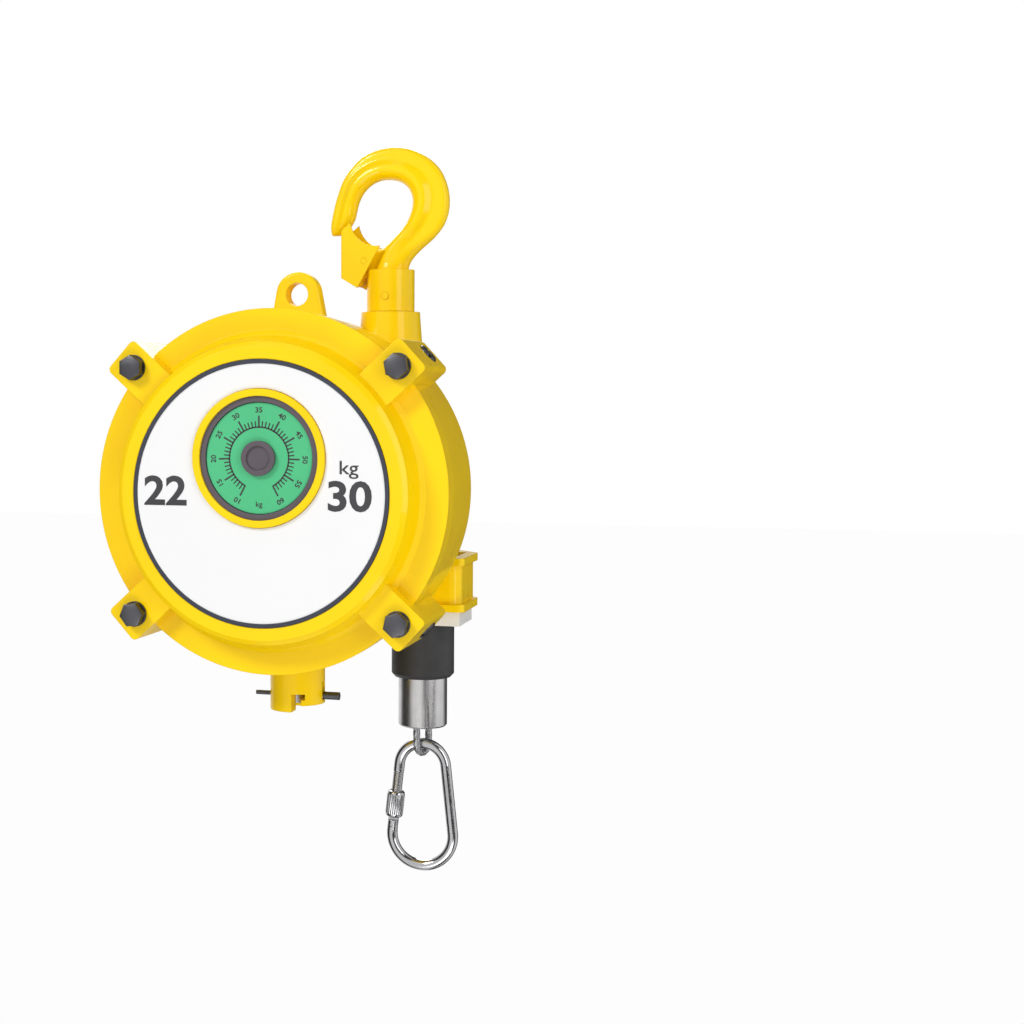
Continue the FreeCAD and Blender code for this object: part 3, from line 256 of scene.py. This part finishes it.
def outward(shape):
    bmesh.ops.remove_doubles(shape, verts=shape.verts, dist=1e-4)
    bmesh.ops.recalc_face_normals(shape, faces=shape.faces)
    return shape


def add_to(shape, part):
    """Put one part of a piece into the piece's bmesh."""
    spare = bpy.data.meshes.new("spare")
    part.to_mesh(spare)
    part.free()
    shape.from_mesh(spare)
    bpy.data.meshes.remove(spare)


def chain(shape, points, closed=False):
    """Points joined by edges; a list of all of them."""
    verts = [shape.verts.new(point) for point in points]
    pairs = list(zip(verts, verts[1:])) + ([(verts[-1], verts[0])] if closed else [])
    return verts + [shape.edges.new(pair) for pair in pairs]


def cap(shape, *ends):
    """Close each loop of edges with a face."""
    for end in ends:
        bmesh.ops.contextual_create(shape, geom=edges_of(end))


def turned(points, steps, axis=(0, 1, 0), centre=(0, 0, 0)):
    """A full turn of a profile given as (radius, height) about an axis along Y or Z."""
    shape = bmesh.new()
    along_y = axis[1] != 0
    centre = Vector(centre)
    profile = [centre + (Vector((r, h, 0)) if along_y else Vector((r, 0, h))) for r, h in points]
    bmesh.ops.spin(shape, geom=chain(shape, profile), cent=centre, axis=axis, angle=FULL,
                   steps=steps, use_merge=True)
    return outward(shape)


def blank_curve(name, points, tilts=None, closed=False):
    """A curve through points in case millimetres."""
    curve = bpy.data.curves.new(name, "CURVE")
    curve.dimensions = "3D"
    curve.twist_mode = "MINIMUM"
    spline = curve.splines.new("POLY")
    spline.points.add(len(points) - 1)
    for index, (end, place) in enumerate(zip(spline.points, points)):
        end.co = (*place, 1)
        end.tilt = tilts[index] if tilts else 0
    spline.use_cyclic_u = closed
    return curve


def swept(curve, section):
    """The mesh of a curve swept by a section, as a bmesh in case millimetres."""
    curve.bevel_mode = "OBJECT"
    curve.bevel_object = section
    curve.use_fill_caps = True
    holder = linked(curve.name, curve)
    mesh = shown_mesh(holder)
    shape = bmesh.new()
    shape.from_mesh(mesh)
    bpy.data.meshes.remove(mesh)
    bpy.data.objects.remove(holder)
    bpy.data.curves.remove(curve)
    return outward(shape)


# ---------------------------------------------------------------- wire rope
ROPE = 2.25                      # radius
ROPE_X, ROPE_Y = 62, 30          # where it hangs, at the small end of the drum
STRANDS, LAY = 6, 29
PITCH, RISE = 10.4, 5.4          # of the drum's groove, for each turn
ROPE_STEP = 2.4
EYE_TURN, EYE_REACH, EYE_TUCK = -20, 6.6, 4


def strand_section():
    """Section of a rope of six strands: six round lobes."""
    points = []
    for step in range(STRANDS * 5):
        turn = FULL * step / (STRANDS * 5)
        lobe = abs(math.cos(turn * STRANDS / 2))
        reach = ROPE * (0.80 + 0.20 * math.sqrt(lobe))
        points.append((reach * math.cos(turn), reach * math.sin(turn), 0))
    curve = blank_curve("rope_section", points, closed=True)
    curve.dimensions = "2D"
    return linked("rope_section", curve)


def laid_rope(name, points, section, body):
    """A twisted rope on points spaced evenly enough for its lay."""
    run, tilts = 0.0, []
    for index, place in enumerate(points):
        if index:
            run += (Vector(place) - Vector(points[index - 1])).length
        tilts.append(run / LAY * FULL)
    return settle(swept(blank_curve(name, points, tilts), section), name, body, "wire_rope")


def wound_rope(section, turns=5.2):
    """The rope on the drum, one spiral from the small rear end to the front."""
    points, angle = [], 0.0
    while angle < turns * FULL:
        depth = ROPE_Y - PITCH * angle / FULL
        radius = ROPE_X + (ROPE_Y - depth) * RISE / PITCH
        points.append((radius * math.cos(angle), depth, radius * math.sin(angle)))
        angle += ROPE_STEP / radius
    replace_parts(laid_rope("wound_rope", points, section, "drum"), "rope_coil")


def hanging_rope(section):
    """The straight rope from the drum into the sleeve."""
    low = case_box("rope_run")[0].z
    count = int(-low / ROPE_STEP)
    points = [(ROPE_X, ROPE_Y, low * step / count) for step in range(count + 1)]
    piece = laid_rope("hanging_rope", points, section, None)
    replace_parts(piece, "rope_run")
    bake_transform(piece)


def eye_rope(section, leg_steps=6, bend_steps=16):
    """The loop of rope below the sleeve, round the top of the carabiner."""
    low, high = case_box("rope_eye")
    middle = (low + high) / 2
    turn = math.radians(EYE_TURN)
    side = Vector((-math.sin(turn), math.cos(turn), 0)) * EYE_REACH
    top, bend = high.z + EYE_TUCK, low.z + ROPE + EYE_REACH
    path = [(-1, top + (bend - top) * step / leg_steps) for step in range(leg_steps)]
    for step in range(bend_steps + 1):
        around = math.pi * step / bend_steps
        path.append((-math.cos(around), bend - EYE_REACH * math.sin(around)))
    path += [(1, bend + (top - bend) * step / leg_steps) for step in range(1, leg_steps + 1)]
    points = [Vector((middle.x, middle.y, height)) + side * across for across, height in path]
    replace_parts(laid_rope("eye_rope", points, section, "rope_end"), "rope_eye")


# ---------------------------------------------------------------- drum
GROOVE, LAND = ROPE + 0.15, -0.3     # radius of the groove; height of the land by the rope
GROOVE_STEPS = 8
DRUM_REAR = ROPE_Y + 8
RING, RING_REAR, RING_FRONT = 92.5, ROPE_Y - 5 * PITCH - 5, -39
BARREL, BARREL_BORE, BARREL_FRONT = 86, 80, -66
DRUM_BORE = 13
NOTCH_EVERY, NOTCH_HALF, NOTCH_DEEP = 30, 3.2, 6


def off_axis(vert):
    return math.hypot(vert.co.x, vert.co.z)


def spiral_cone(around=120, lead_turns=2, turns=9.5):
    """The grooved cone: a groove's profile wound round and widened turn by turn."""
    edge = math.acos(-LAND / GROOVE)
    start = ROPE_Y + PITCH * lead_turns
    profile = [(ROPE_X + LAND, start - PITCH / 2, 0)]
    for step in range(GROOVE_STEPS + 1):
        angle = edge * (2 * step / GROOVE_STEPS - 1)
        profile.append((ROPE_X - GROOVE * math.cos(angle), start + GROOVE * math.sin(angle), 0))
    profile.append((ROPE_X + LAND, start + PITCH / 2, 0))
    shape = bmesh.new()
    bmesh.ops.spin(shape, geom=chain(shape, profile), cent=(0, 0, 0), axis=(0, -1, 0),
                   dvec=(0, -PITCH / around, 0), angle=FULL * turns, steps=int(around * turns))
    for vert in shape.verts:
        reach = off_axis(vert)
        grown = (reach + (ROPE_Y - vert.co.y) * RISE / PITCH) / reach
        vert.co.x, vert.co.z = vert.co.x * grown, vert.co.z * grown
    bmesh.ops.remove_doubles(shape, verts=shape.verts, dist=1e-3)
    for depth, side in ((DRUM_REAR, 1), (RING_REAR, -1)):
        bmesh.ops.bisect_plane(shape, geom=everything(shape), plane_co=(0, depth, 0),
                               plane_no=(0, side, 0), clear_outer=True)
    return shape


def grooved_drum():
    """Cone with a spiral groove under the rope, its end faces and the notched locking ring."""
    shape = spiral_cone()

    def rim(depth):
        return [edge for edge in shape.edges if edge.is_boundary
                and all(abs(vert.co.y - depth) < 1e-3 for vert in edge.verts)]

    def draw_out(edges, radius, depth):
        made = bmesh.ops.extrude_edge_only(shape, edges=edges)["geom"]
        for vert in verts_of(made):
            reach = off_axis(vert)
            vert.co = Vector((vert.co.x * radius / reach, depth, vert.co.z * radius / reach))
        return edges_of(made)

    behind = draw_out(rim(DRUM_REAR), DRUM_BORE, DRUM_REAR)
    ahead = rim(RING_REAR)
    for radius, depth in ((RING, RING_REAR), (RING, RING_FRONT), (BARREL, RING_FRONT),
                          (BARREL, BARREL_FRONT), (BARREL_BORE, BARREL_FRONT),
                          (BARREL_BORE, RING_REAR), (DRUM_BORE, RING_REAR)):
        ahead = draw_out(ahead, radius, depth)
    bmesh.ops.bridge_loops(shape, edges=behind + ahead)
    for vert in shape.verts:
        angle = math.degrees(math.atan2(vert.co.z, vert.co.x)) + NOTCH_EVERY / 2
        angle = abs(angle % NOTCH_EVERY - NOTCH_EVERY / 2)
        reach = off_axis(vert)
        if reach > RING - 0.1 and angle < NOTCH_HALF:
            vert.co.x *= (RING - NOTCH_DEEP) / reach
            vert.co.z *= (RING - NOTCH_DEEP) / reach
    piece = settle(outward(shape), "grooved_drum", "drum", "drum_casting", smooth=35)
    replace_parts(piece, "rope_drum")


# ---------------------------------------------------------------- hook
HOOK_STATIONS = (
    # inner edge x, z; outer edge x, z; share of the round shank in the section
    (-9.5, -54, 9.8, -54, 1.0), (-8.6, -48, 12.2, -47, 0.9), (-5.4, -41, 18.2, -40.5, 0.6),
    (1.0, -34.6, 25.6, -34.2, 0.25), (7.5, -28, 31.6, -26.8, 0.0), (11.8, -20.4, 34.6, -17.6, 0.0),
    (13.2, -12.6, 34.2, -7.0, 0.0), (10.8, -5.6, 29.6, 4.6, 0.0), (5.0, -1.2, 20.2, 13.4, 0.0),
    (-2.6, 0.0, 7.4, 18.3, 0.0), (-9.6, -1.4, -5.4, 18.2, 0.0), (-15.4, -5.6, -17.2, 13.6, 0.0),
    (-18.9, -11.2, -27.0, 3.4, 0.0), (-20.4, -16.8, -32.0, -8.0, 0.0),
    (-21.8, -22.6, -34.8, -18.4, 0.1), (-25.0, -27.4, -36.2, -26.6, 0.3),
    (-29.6, -31.2, -35.4, -31.6, 0.6))
HOOK_BETWEEN = 3
HOOK_HALF = 8.4
BEAD = ((0.0, 0.0), (0.6, 3.6), (2.4, 6.4), (5.4, 8.1), (8.4, 7.7), (10.8, 6.0), (12.4, 4.6))
BEAD_SHARE = 0.66                # of the section's width
WEB_HALF = 4.4
WEB_EDGE = ((2.2, 0.95), (0.5, 0.55))    # in from the outer edge; share of the web's half
EAR = ((-5, -56), (-14.2, -56), (-15.8, -60.5), (-18.6, -61.8), (-21.2, -60.4), (-22.0, -54.6),
       (-20.3, -45.4), (-14, -41), (-5, -40))
EAR_HALF = 4.7
SHANK, SHANK_TIP, SHANK_TOP = 8.9, 8.4, -50
HOOK_GRAIN, HOOK_SOFTENING = 0.8, 7      # finest detail; rounds of smoothing after it is grown


def hook_stations():
    """The hook's stations with smooth ones between them."""
    known = [Vector(station) for station in HOOK_STATIONS]
    known = [known[0] * 2 - known[1]] + known + [known[-1] * 2 - known[-2]]
    for a, b, c, d in zip(known, known[1:], known[2:], known[3:]):
        for step in range(HOOK_BETWEEN):
            t = step / HOOK_BETWEEN
            yield (b * 2 + (c - a) * t + (a * 2 - b * 5 + c * 4 - d) * t ** 2
                   + (b * 3 - a - c * 3 + d) * t ** 3) / 2
    yield known[-2]


def hook_section(station):
    """Teardrop section of the hook: a round bead inside and a thinner web outside."""
    inner, outer = Vector((station[0], 0, station[1])), Vector((station[2], 0, station[3]))
    roundness = min(1.0, max(0.0, station[4]))
    wide = (outer - inner).length
    out = (outer - inner).normalized()
    squeeze = min(1.0, wide * BEAD_SHARE / BEAD[-1][0])
    side = [(t * squeeze, y * min(1.0, squeeze + 0.1)) for t, y in BEAD]
    side.append((wide * 0.8, WEB_HALF))
    side += [(wide - t, WEB_HALF * share) for t, share in WEB_EDGE]
    side.append((wide, 0))
    points = side + [(t, -y) for t, y in reversed(side[1:-1])]
    loop = []
    for index, (t, y) in enumerate(points):
        angle = math.pi * index / (len(side) - 1)
        round_t = wide / 2 * (1 - math.cos(angle))
        round_y = min(wide / 2, HOOK_HALF) * math.sin(angle)
        t, y = t + (round_t - t) * roundness, y + (round_y - y) * roundness
        loop.append(SEAT + inner + out * t + Vector((0, y, 0)))
    return loop


def lofted(shape, loops):
    """Bridge loops of points one after another and close both ends."""
    rings = [edges_of(chain(shape, loop, closed=True)) for loop in loops]
    for first, second in zip(rings, rings[1:]):
        bmesh.ops.bridge_loops(shape, edges=first + second)
    cap(shape, rings[0], rings[-1])


def plate_of(shape, outline, half):
    """A plate in the XZ plane with an outline from the hook's seat."""
    ring = chain(shape, [SEAT + Vector((x, -half, z)) for x, z in outline], closed=True)
    face = bmesh.ops.contextual_create(shape, geom=edges_of(ring))["faces"]
    made = bmesh.ops.extrude_face_region(shape, geom=face)["geom"]
    bmesh.ops.translate(shape, vec=(0, half * 2, 0), verts=verts_of(made))


def forged_hook():
    """Hook, ear and shank grown together, as the forging is, with soft inner corners."""
    shape = bmesh.new()
    lofted(shape, [hook_section(station) for station in hook_stations()])
    plate_of(shape, EAR, EAR_HALF)
    low, top = case_box("suspension_hook")[0].z, SEAT.z + SHANK_TOP
    add_to(shape, turned([(ON_AXIS, low + 0.2), (SHANK_TIP, low + 0.2), (SHANK, low + 0.8),
                          (SHANK, top), (ON_AXIS, top)], 40, (0, 0, 1), (SEAT.x, SEAT.y, 0)))
    bmesh.ops.triangulate(shape, faces=[f for f in shape.faces if len(f.verts) > 4])
    bmesh.ops.recalc_face_normals(shape, faces=shape.faces)
    piece = settle(shape, "forged_hook", "hook", "yellow_steel", smooth=180)
    grown = piece.modifiers.new("grown", "REMESH")
    grown.mode, grown.voxel_size = "VOXEL", HOOK_GRAIN * MM
    soft = piece.modifiers.new("soft", "SMOOTH")
    soft.factor, soft.iterations = 0.5, HOOK_SOFTENING
    mesh = shown_mesh(piece)
    piece.modifiers.clear()
    piece.data = mesh
    mesh.shade_smooth()
    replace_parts(piece, "suspension_hook")


# ---------------------------------------------------------------- dial and plate figures
FIGURE_THICK, PRINT_PROUD = 0.06, 0.05
SCALE_CIRCLE = 17.0
LONG_STROKE, SHORT_STROKE = (0.9, 0.1, 6.2), (0.65, 0.1, 3.3)
NUMBERS_OUT, UNIT_DOWN = 26.2, 25.2


def figures(shape, text, size, place, turn=0.0, weight=0.0, wide=1.0):
    """Add figures that face -Y, centred on a place; turn is about the dial's axis."""
    curve = bpy.data.curves.new("figures", "FONT")
    curve.body, curve.size, curve.offset, curve.extrude = text, size, weight, FIGURE_THICK
    curve.align_x, curve.align_y, curve.resolution_u = "CENTER", "CENTER", 4
    holder = linked("figures", curve)
    mesh = shown_mesh(holder)
    bpy.data.objects.remove(holder)
    bpy.data.curves.remove(curve)
    mesh.transform(Matrix.Translation(place) @ Matrix.Rotation(turn, 4, "Y")
                   @ Matrix.Rotation(QUARTER, 4, "X") @ Matrix.Diagonal((wide, 1, 1, 1)))
    shape.from_mesh(mesh)
    bpy.data.meshes.remove(mesh)


def plate_figures():
    """Load range printed on the plate."""
    face = case_box("nameplate")[0].y - FIGURE_THICK
    shape = bmesh.new()
    figures(shape, "22", 22.3, (-54.5, face, 0.2), weight=0.55, wide=1.15)
    figures(shape, "30", 22.3, (51.2, face, -1.4), weight=0.55, wide=1.15)
    figures(shape, "kg", 10.5, (50.9, face, 14.6), weight=0.06, wide=1.18)
    settle(outward(shape), "plate_figures", "case", "trim_dark", finish="ink")


def dial_scale(first=10, step=5, majors=11, spread=152, minors=5):
    """Preload scale on the turning dial: a circle, long and short strokes and numbers."""
    low, high = case_box("dial_disc")
    centre = (low + high) / 2
    base = Vector((centre.x, low.y - PRINT_PROUD, centre.z))
    shape = bmesh.new()
    half = math.radians(spread)
    inward = Vector((math.sin(half), 0, -math.cos(half)))
    start = base - inward * SCALE_CIRCLE
    ring = chain(shape, [start + inward * t + Vector((0, y, 0)) for t, y in
                         ((0.4, -0.05), (-0.4, -0.05), (-0.4, 0.05), (0.4, 0.05))], closed=True)
    last = bmesh.ops.spin(shape, geom=ring, cent=base, axis=(0, 1, 0), angle=half * 2,
                          steps=90)["geom_last"]
    cap(shape, ring, last)
    count = (majors - 1) * minors
    for index in range(count + 1):
        angle = half * (2 * index / count - 1)
        out = Vector((math.sin(angle), 0, math.cos(angle)))
        stroke = SHORT_STROKE if index % minors else LONG_STROKE
        bmesh.ops.create_cube(
            shape, size=1, matrix=Matrix.Translation(base + out * (SCALE_CIRCLE + stroke[2] / 2))
            @ Matrix.Rotation(angle, 4, "Y") @ Matrix.Diagonal((*stroke, 1)))
        if index % minors == 0:
            figures(shape, str(first + step * index // minors), 4.0, base + out * NUMBERS_OUT,
                    angle, weight=0.07, wide=1.1)
    figures(shape, "kg", 4.2, base - Vector((0, 0, UNIT_DOWN)), weight=0.04, wide=1.05)
    settle(outward(shape), "dial_scale", "dial", "dial_grey", finish="ink")


# ---------------------------------------------------------------- bolts
WASHER = 7.2                     # radius


def cover_screws(across=12.4, head=5.3, shank=4, chamfer=0.9, first_turn=0.4, next_turn=1.9):
    """Hexagon bolts of the cover, each tightened to its own angle, with a chamfered head."""
    low, high = case_box("bolt_washers")
    front, back = case_box("cover_bolts")
    lying = Matrix.Rotation(QUARTER, 4, "X")
    start, wide = front.y + head - 1, across / math.sqrt(3)
    places = [(x, z) for z in (low.z + WASHER, high.z - WASHER)
              for x in (low.x + WASHER, high.x - WASHER)]
    shape = bmesh.new()
    for index, (x, z) in enumerate(places):
        bolt = bmesh.new()
        bmesh.ops.create_cone(bolt, cap_ends=True, segments=32, radius1=shank, radius2=shank,
                              depth=back.y - start,
                              matrix=Matrix.Translation((x, (start + back.y) / 2, z)) @ lying)
        at_head = (Matrix.Translation((x, front.y + head / 2, z))
                   @ Matrix.Rotation(first_turn + index * next_turn, 4, "Y") @ lying)
        hexagon = bmesh.ops.create_cone(bolt, cap_ends=True, segments=6, radius1=wide,
                                        radius2=wide, depth=head, matrix=at_head)["verts"]
        rim = [edge for edge in bolt.edges
               if all(v in hexagon and v.co.y < front.y + 0.1 for v in edge.verts)]
        bmesh.ops.bevel(bolt, geom=rim, offset=chamfer, segments=2, profile=0.5, affect="EDGES",
                        material=-1)
        add_to(shape, bolt)
    bmesh.ops.recalc_face_normals(shape, faces=shape.faces)
    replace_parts(settle(shape, "cover_screws", "case", "bolt_steel", smooth=30), "cover_bolts")


def slotted_nuts(radius=6, inner=-6, outer=12.2, slot=1.8, deep=2.0, slot_turn=0.5):
    """Barrel nuts of the cover bolts, each with its slotted end just proud of its lug."""
    low, high = case_box("barrel_nuts")
    washers = case_box("bolt_washers")
    middle = (low.y + high.y) / 2
    corner = Vector((washers[1].x - WASHER, 0, washers[1].z - WASHER))
    steepness = math.atan2(corner.z, corner.x)
    shape = bmesh.new()
    for across, up in ((1, 1), (-1, 1), (-1, -1), (1, -1)):
        nut = turned([(ON_AXIS, inner), (radius, inner), (radius, outer - 0.8),
                      (radius - 0.8, outer), (ON_AXIS, outer)], 40, (0, 0, 1))
        for side in (-1, 1):
            bmesh.ops.bisect_plane(nut, geom=everything(nut), plane_co=(side * slot / 2, 0, 0),
                                   plane_no=(side, 0, 0))
        bed = [face for face in nut.faces if face.calc_center_median().z > outer - 0.9
               and abs(face.calc_center_median().x) < slot / 2]
        sunk = bmesh.ops.extrude_face_region(nut, geom=bed)["geom"]
        bmesh.ops.delete(nut, geom=bed, context="FACES")
        bmesh.ops.translate(nut, vec=(0, 0, -deep), verts=verts_of(sunk))
        turn = math.atan2(up * math.sin(steepness), across * math.cos(steepness))
        nut.transform(Matrix.Translation((corner.x * across, middle, corner.z * up))
                      @ Matrix.Rotation(QUARTER - turn, 4, "Y")
                      @ Matrix.Rotation(slot_turn, 4, "Z"))
        add_to(shape, nut)
    bmesh.ops.recalc_face_normals(shape, faces=shape.faces)
    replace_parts(settle(shape, "slotted_nuts", "case", "bolt_steel", smooth=30), "barrel_nuts")


# ---------------------------------------------------------------- carabiner screw gate
GATE_UP = Vector(JOINT["lock_screw"]["axis"]).normalized()
GATE_HINGE = (Vector(JOINT["gate_hinge"]["pos_m"]) - CASE) / MM


def on_gate(rise):
    """From the Z axis to the gate's line, starting a distance up from its hinge."""
    return (Matrix.Translation(GATE_HINGE + GATE_UP * rise)
            @ GATE_UP.to_track_quat("Z", "Y").to_matrix().to_4x4())


def gate_thread(low=22, high=33.4, core=2.95, crest=3.28, pitch=1.0, around=20):
    """The screw thread on the gate, between two distances up from its hinge."""
    turns = (high - low) / pitch
    shape = bmesh.new()
    profile = chain(shape, [(core, 0, -pitch * 0.45), (crest, 0, 0), (core, 0, pitch * 0.45)],
                    closed=True)
    last = bmesh.ops.spin(shape, geom=profile, cent=(0, 0, 0), axis=(0, 0, 1),
                          dvec=(0, 0, pitch / around), angle=FULL * turns,
                          steps=int(around * turns))["geom_last"]
    cap(shape, profile, last)
    shape.transform(on_gate(low))
    settle(outward(shape), "gate_thread", "gate", "plated_steel", smooth=20)


def knurled_sleeve(flutes=22, flute_share=0.09, radius=5.4, bore=3.35, long=16):
    """Screw sleeve of the gate with flutes for the fingers and plain chamfered ends."""
    low, high = case_box("lock_sleeve")
    rise = ((low + high) / 2 - GATE_HINGE).dot(GATE_UP)
    shape = turned([(bore, 0), (radius - 1, 0), (radius - 0.2, 0.8), (radius - 0.2, 1.8),
                    (radius, 2.2), (radius, long - 2.2), (radius - 0.2, long - 1.8),
                    (radius - 0.2, long - 0.8), (radius - 1, long), (bore, long)],
                   flutes * 4, (0, 0, 1))
    for vert in shape.verts:
        if math.hypot(vert.co.x, vert.co.y) > radius - 0.1:
            turn = math.atan2(vert.co.y, vert.co.x) * flutes
            dip = 1 - flute_share * max(0.0, math.cos(turn))
            vert.co.x, vert.co.y = vert.co.x * dip, vert.co.y * dip
    bmesh.ops.bridge_loops(shape, edges=[edge for edge in shape.edges if edge.is_boundary])
    shape.transform(on_gate(rise - long / 2))
    piece = settle(outward(shape), "knurled_sleeve", "lock", "plated_steel", smooth=50)
    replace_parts(piece, "lock_sleeve")


section = strand_section()
wound_rope(section)
hanging_rope(section)
eye_rope(section)
bpy.data.objects.remove(section)
grooved_drum()
forged_hook()
cover_screws()
slotted_nuts()
plate_figures()
dial_scale()
knurled_sleeve()
gate_thread()


# ---------------------------------------------------------------- camera, lamps and stage
AROUND, ABOVE, AWAY = math.radians(17), math.radians(2.9), 1.018
ROOM_LEVEL = 0.45
FLOOR_LEVEL = 0.97
FLOOR_DEPTH = -2.4               # well under the run-out rope
PANELS, PANEL_TURN, GAP_LEVEL = 3.0, 0.89, 0.05
LAMPS = (
    # name, place, size, power
    ("key", (-0.9, -1.3, 0.9), (0.55, 0.5), 16),
    ("fill", (1.3, -0.9, 0.2), (0.7, 1.4), 9.5),
    ("rim", (-0.6, 1.5, 0.9), (1.2, 0.8), 15),
    ("bounce", (0.3, -1.1, -1.1), (1.2, 0.6), 6.5))


def aim(holder, place):
    """Place a camera or lamp so that it looks at the case."""
    holder.location = place
    holder.rotation_mode = "QUATERNION"
    holder.rotation_quaternion = (CASE - Vector(place)).to_track_quat("-Z", "Y")


def set_up_camera():
    """The camera in front of the case, a little to its right and above."""
    sight = bpy.data.cameras.new("sight")
    holder = linked("sight", sight)
    bpy.context.scene.camera = holder
    back = Vector((math.sin(AROUND) * math.cos(ABOVE), -math.cos(AROUND) * math.cos(ABOVE),
                   math.sin(ABOVE)))
    aim(holder, CASE + back * AWAY)
    sight.lens, sight.sensor_width = 59.6, 36
    sight.shift_x, sight.shift_y = 0.196, -0.026
    sight.clip_end = 60


def softbox(name, place, size, power):
    light = bpy.data.lights.new(name, "AREA")
    light.shape, light.size, light.size_y, light.energy = "RECTANGLE", *size, power
    aim(linked(name, light), place)


def reckon(tree, operation, *sources, clamp=False):
    """A Math node on sockets and numbers; its output."""
    made = tree.nodes.new("ShaderNodeMath")
    made.operation, made.use_clamp = operation, clamp
    for socket, source in zip(made.inputs, sources):
        if isinstance(source, float):
            socket.default_value = source
        else:
            tree.links.new(source, socket)
    return made.outputs[0]


def light_and_dark(tree, place):
    """Panels and gaps around the object, for gloss to pick up: a brightness by direction."""
    heading = tree.nodes.new("ShaderNodeSeparateXYZ")
    tree.links.new(place, heading.inputs[0])
    around = reckon(tree, "ARCTAN2", heading.outputs["Y"], heading.outputs["X"])
    swing = reckon(tree, "SINE", reckon(tree, "MULTIPLY_ADD", around, PANELS, PANEL_TURN))
    panel = reckon(tree, "MULTIPLY_ADD", swing, 1.1, 0.5, clamp=True)
    return reckon(tree, "MULTIPLY_ADD", panel, 1.0 - GAP_LEVEL, GAP_LEVEL)


def white_and_panels(tree, place):
    """The light path, plain white for straight sight and glass, and panels for gloss."""
    seen = tree.nodes.new("ShaderNodeLightPath").outputs
    plain = reckon(tree, "MAXIMUM", seen["Is Camera Ray"], seen["Is Transmission Ray"])
    gloss = reckon(tree, "MULTIPLY", seen["Is Glossy Ray"], light_and_dark(tree, place))
    return seen, plain, reckon(tree, "ADD", plain, gloss)


def stage_floor():
    """White floor that keeps the object's shadow."""
    bpy.ops.mesh.primitive_plane_add(size=60, location=(0, 0, FLOOR_DEPTH))
    floor = bpy.context.object
    floor.name = "floor"
    f = Finish("pale_floor")
    f.sockets(Base_Color=(0.9, 0.9, 0.9, 1), Roughness=0.9)
    glow = f.node("ShaderNodeEmission")
    glow.inputs["Color"].default_value = (1, 1, 1, 1)
    blend = f.node("ShaderNodeMixShader")
    seen, plain, total = white_and_panels(f.tree, f.place)
    f.wire(total, glow.inputs["Strength"])
    share = reckon(f.tree, "MULTIPLY", plain, FLOOR_LEVEL)
    f.wire(reckon(f.tree, "MAXIMUM", share, seen["Is Glossy Ray"]), blend.inputs[0])
    f.wire(f.shader.outputs[0], blend.inputs[1])
    f.wire(glow.outputs[0], blend.inputs[2])
    f.wire(blend.outputs[0], f.tree.nodes["Material Output"].inputs["Surface"])
    floor.data.materials.append(f.made)


def surround():
    """White surround with panels for gloss and a plain level of light on the object."""
    world = bpy.data.worlds.new("surround")
    bpy.context.scene.world = world
    world.use_nodes = True
    tree = world.node_tree
    sky = tree.nodes["Background"].inputs
    heading = tree.nodes.new("ShaderNodeTexCoord").outputs["Generated"]
    seen, _, total = white_and_panels(tree, heading)
    room = reckon(tree, "MULTIPLY", seen["Is Diffuse Ray"], ROOM_LEVEL)
    tree.links.new(reckon(tree, "ADD", total, room), sky["Strength"])
    sky["Color"].default_value = (1, 1, 1, 1)


set_up_camera()
for lamp in LAMPS:
    softbox(*lamp)
stage_floor()
surround()
bpy.context.scene.view_settings.view_transform = "Standard"
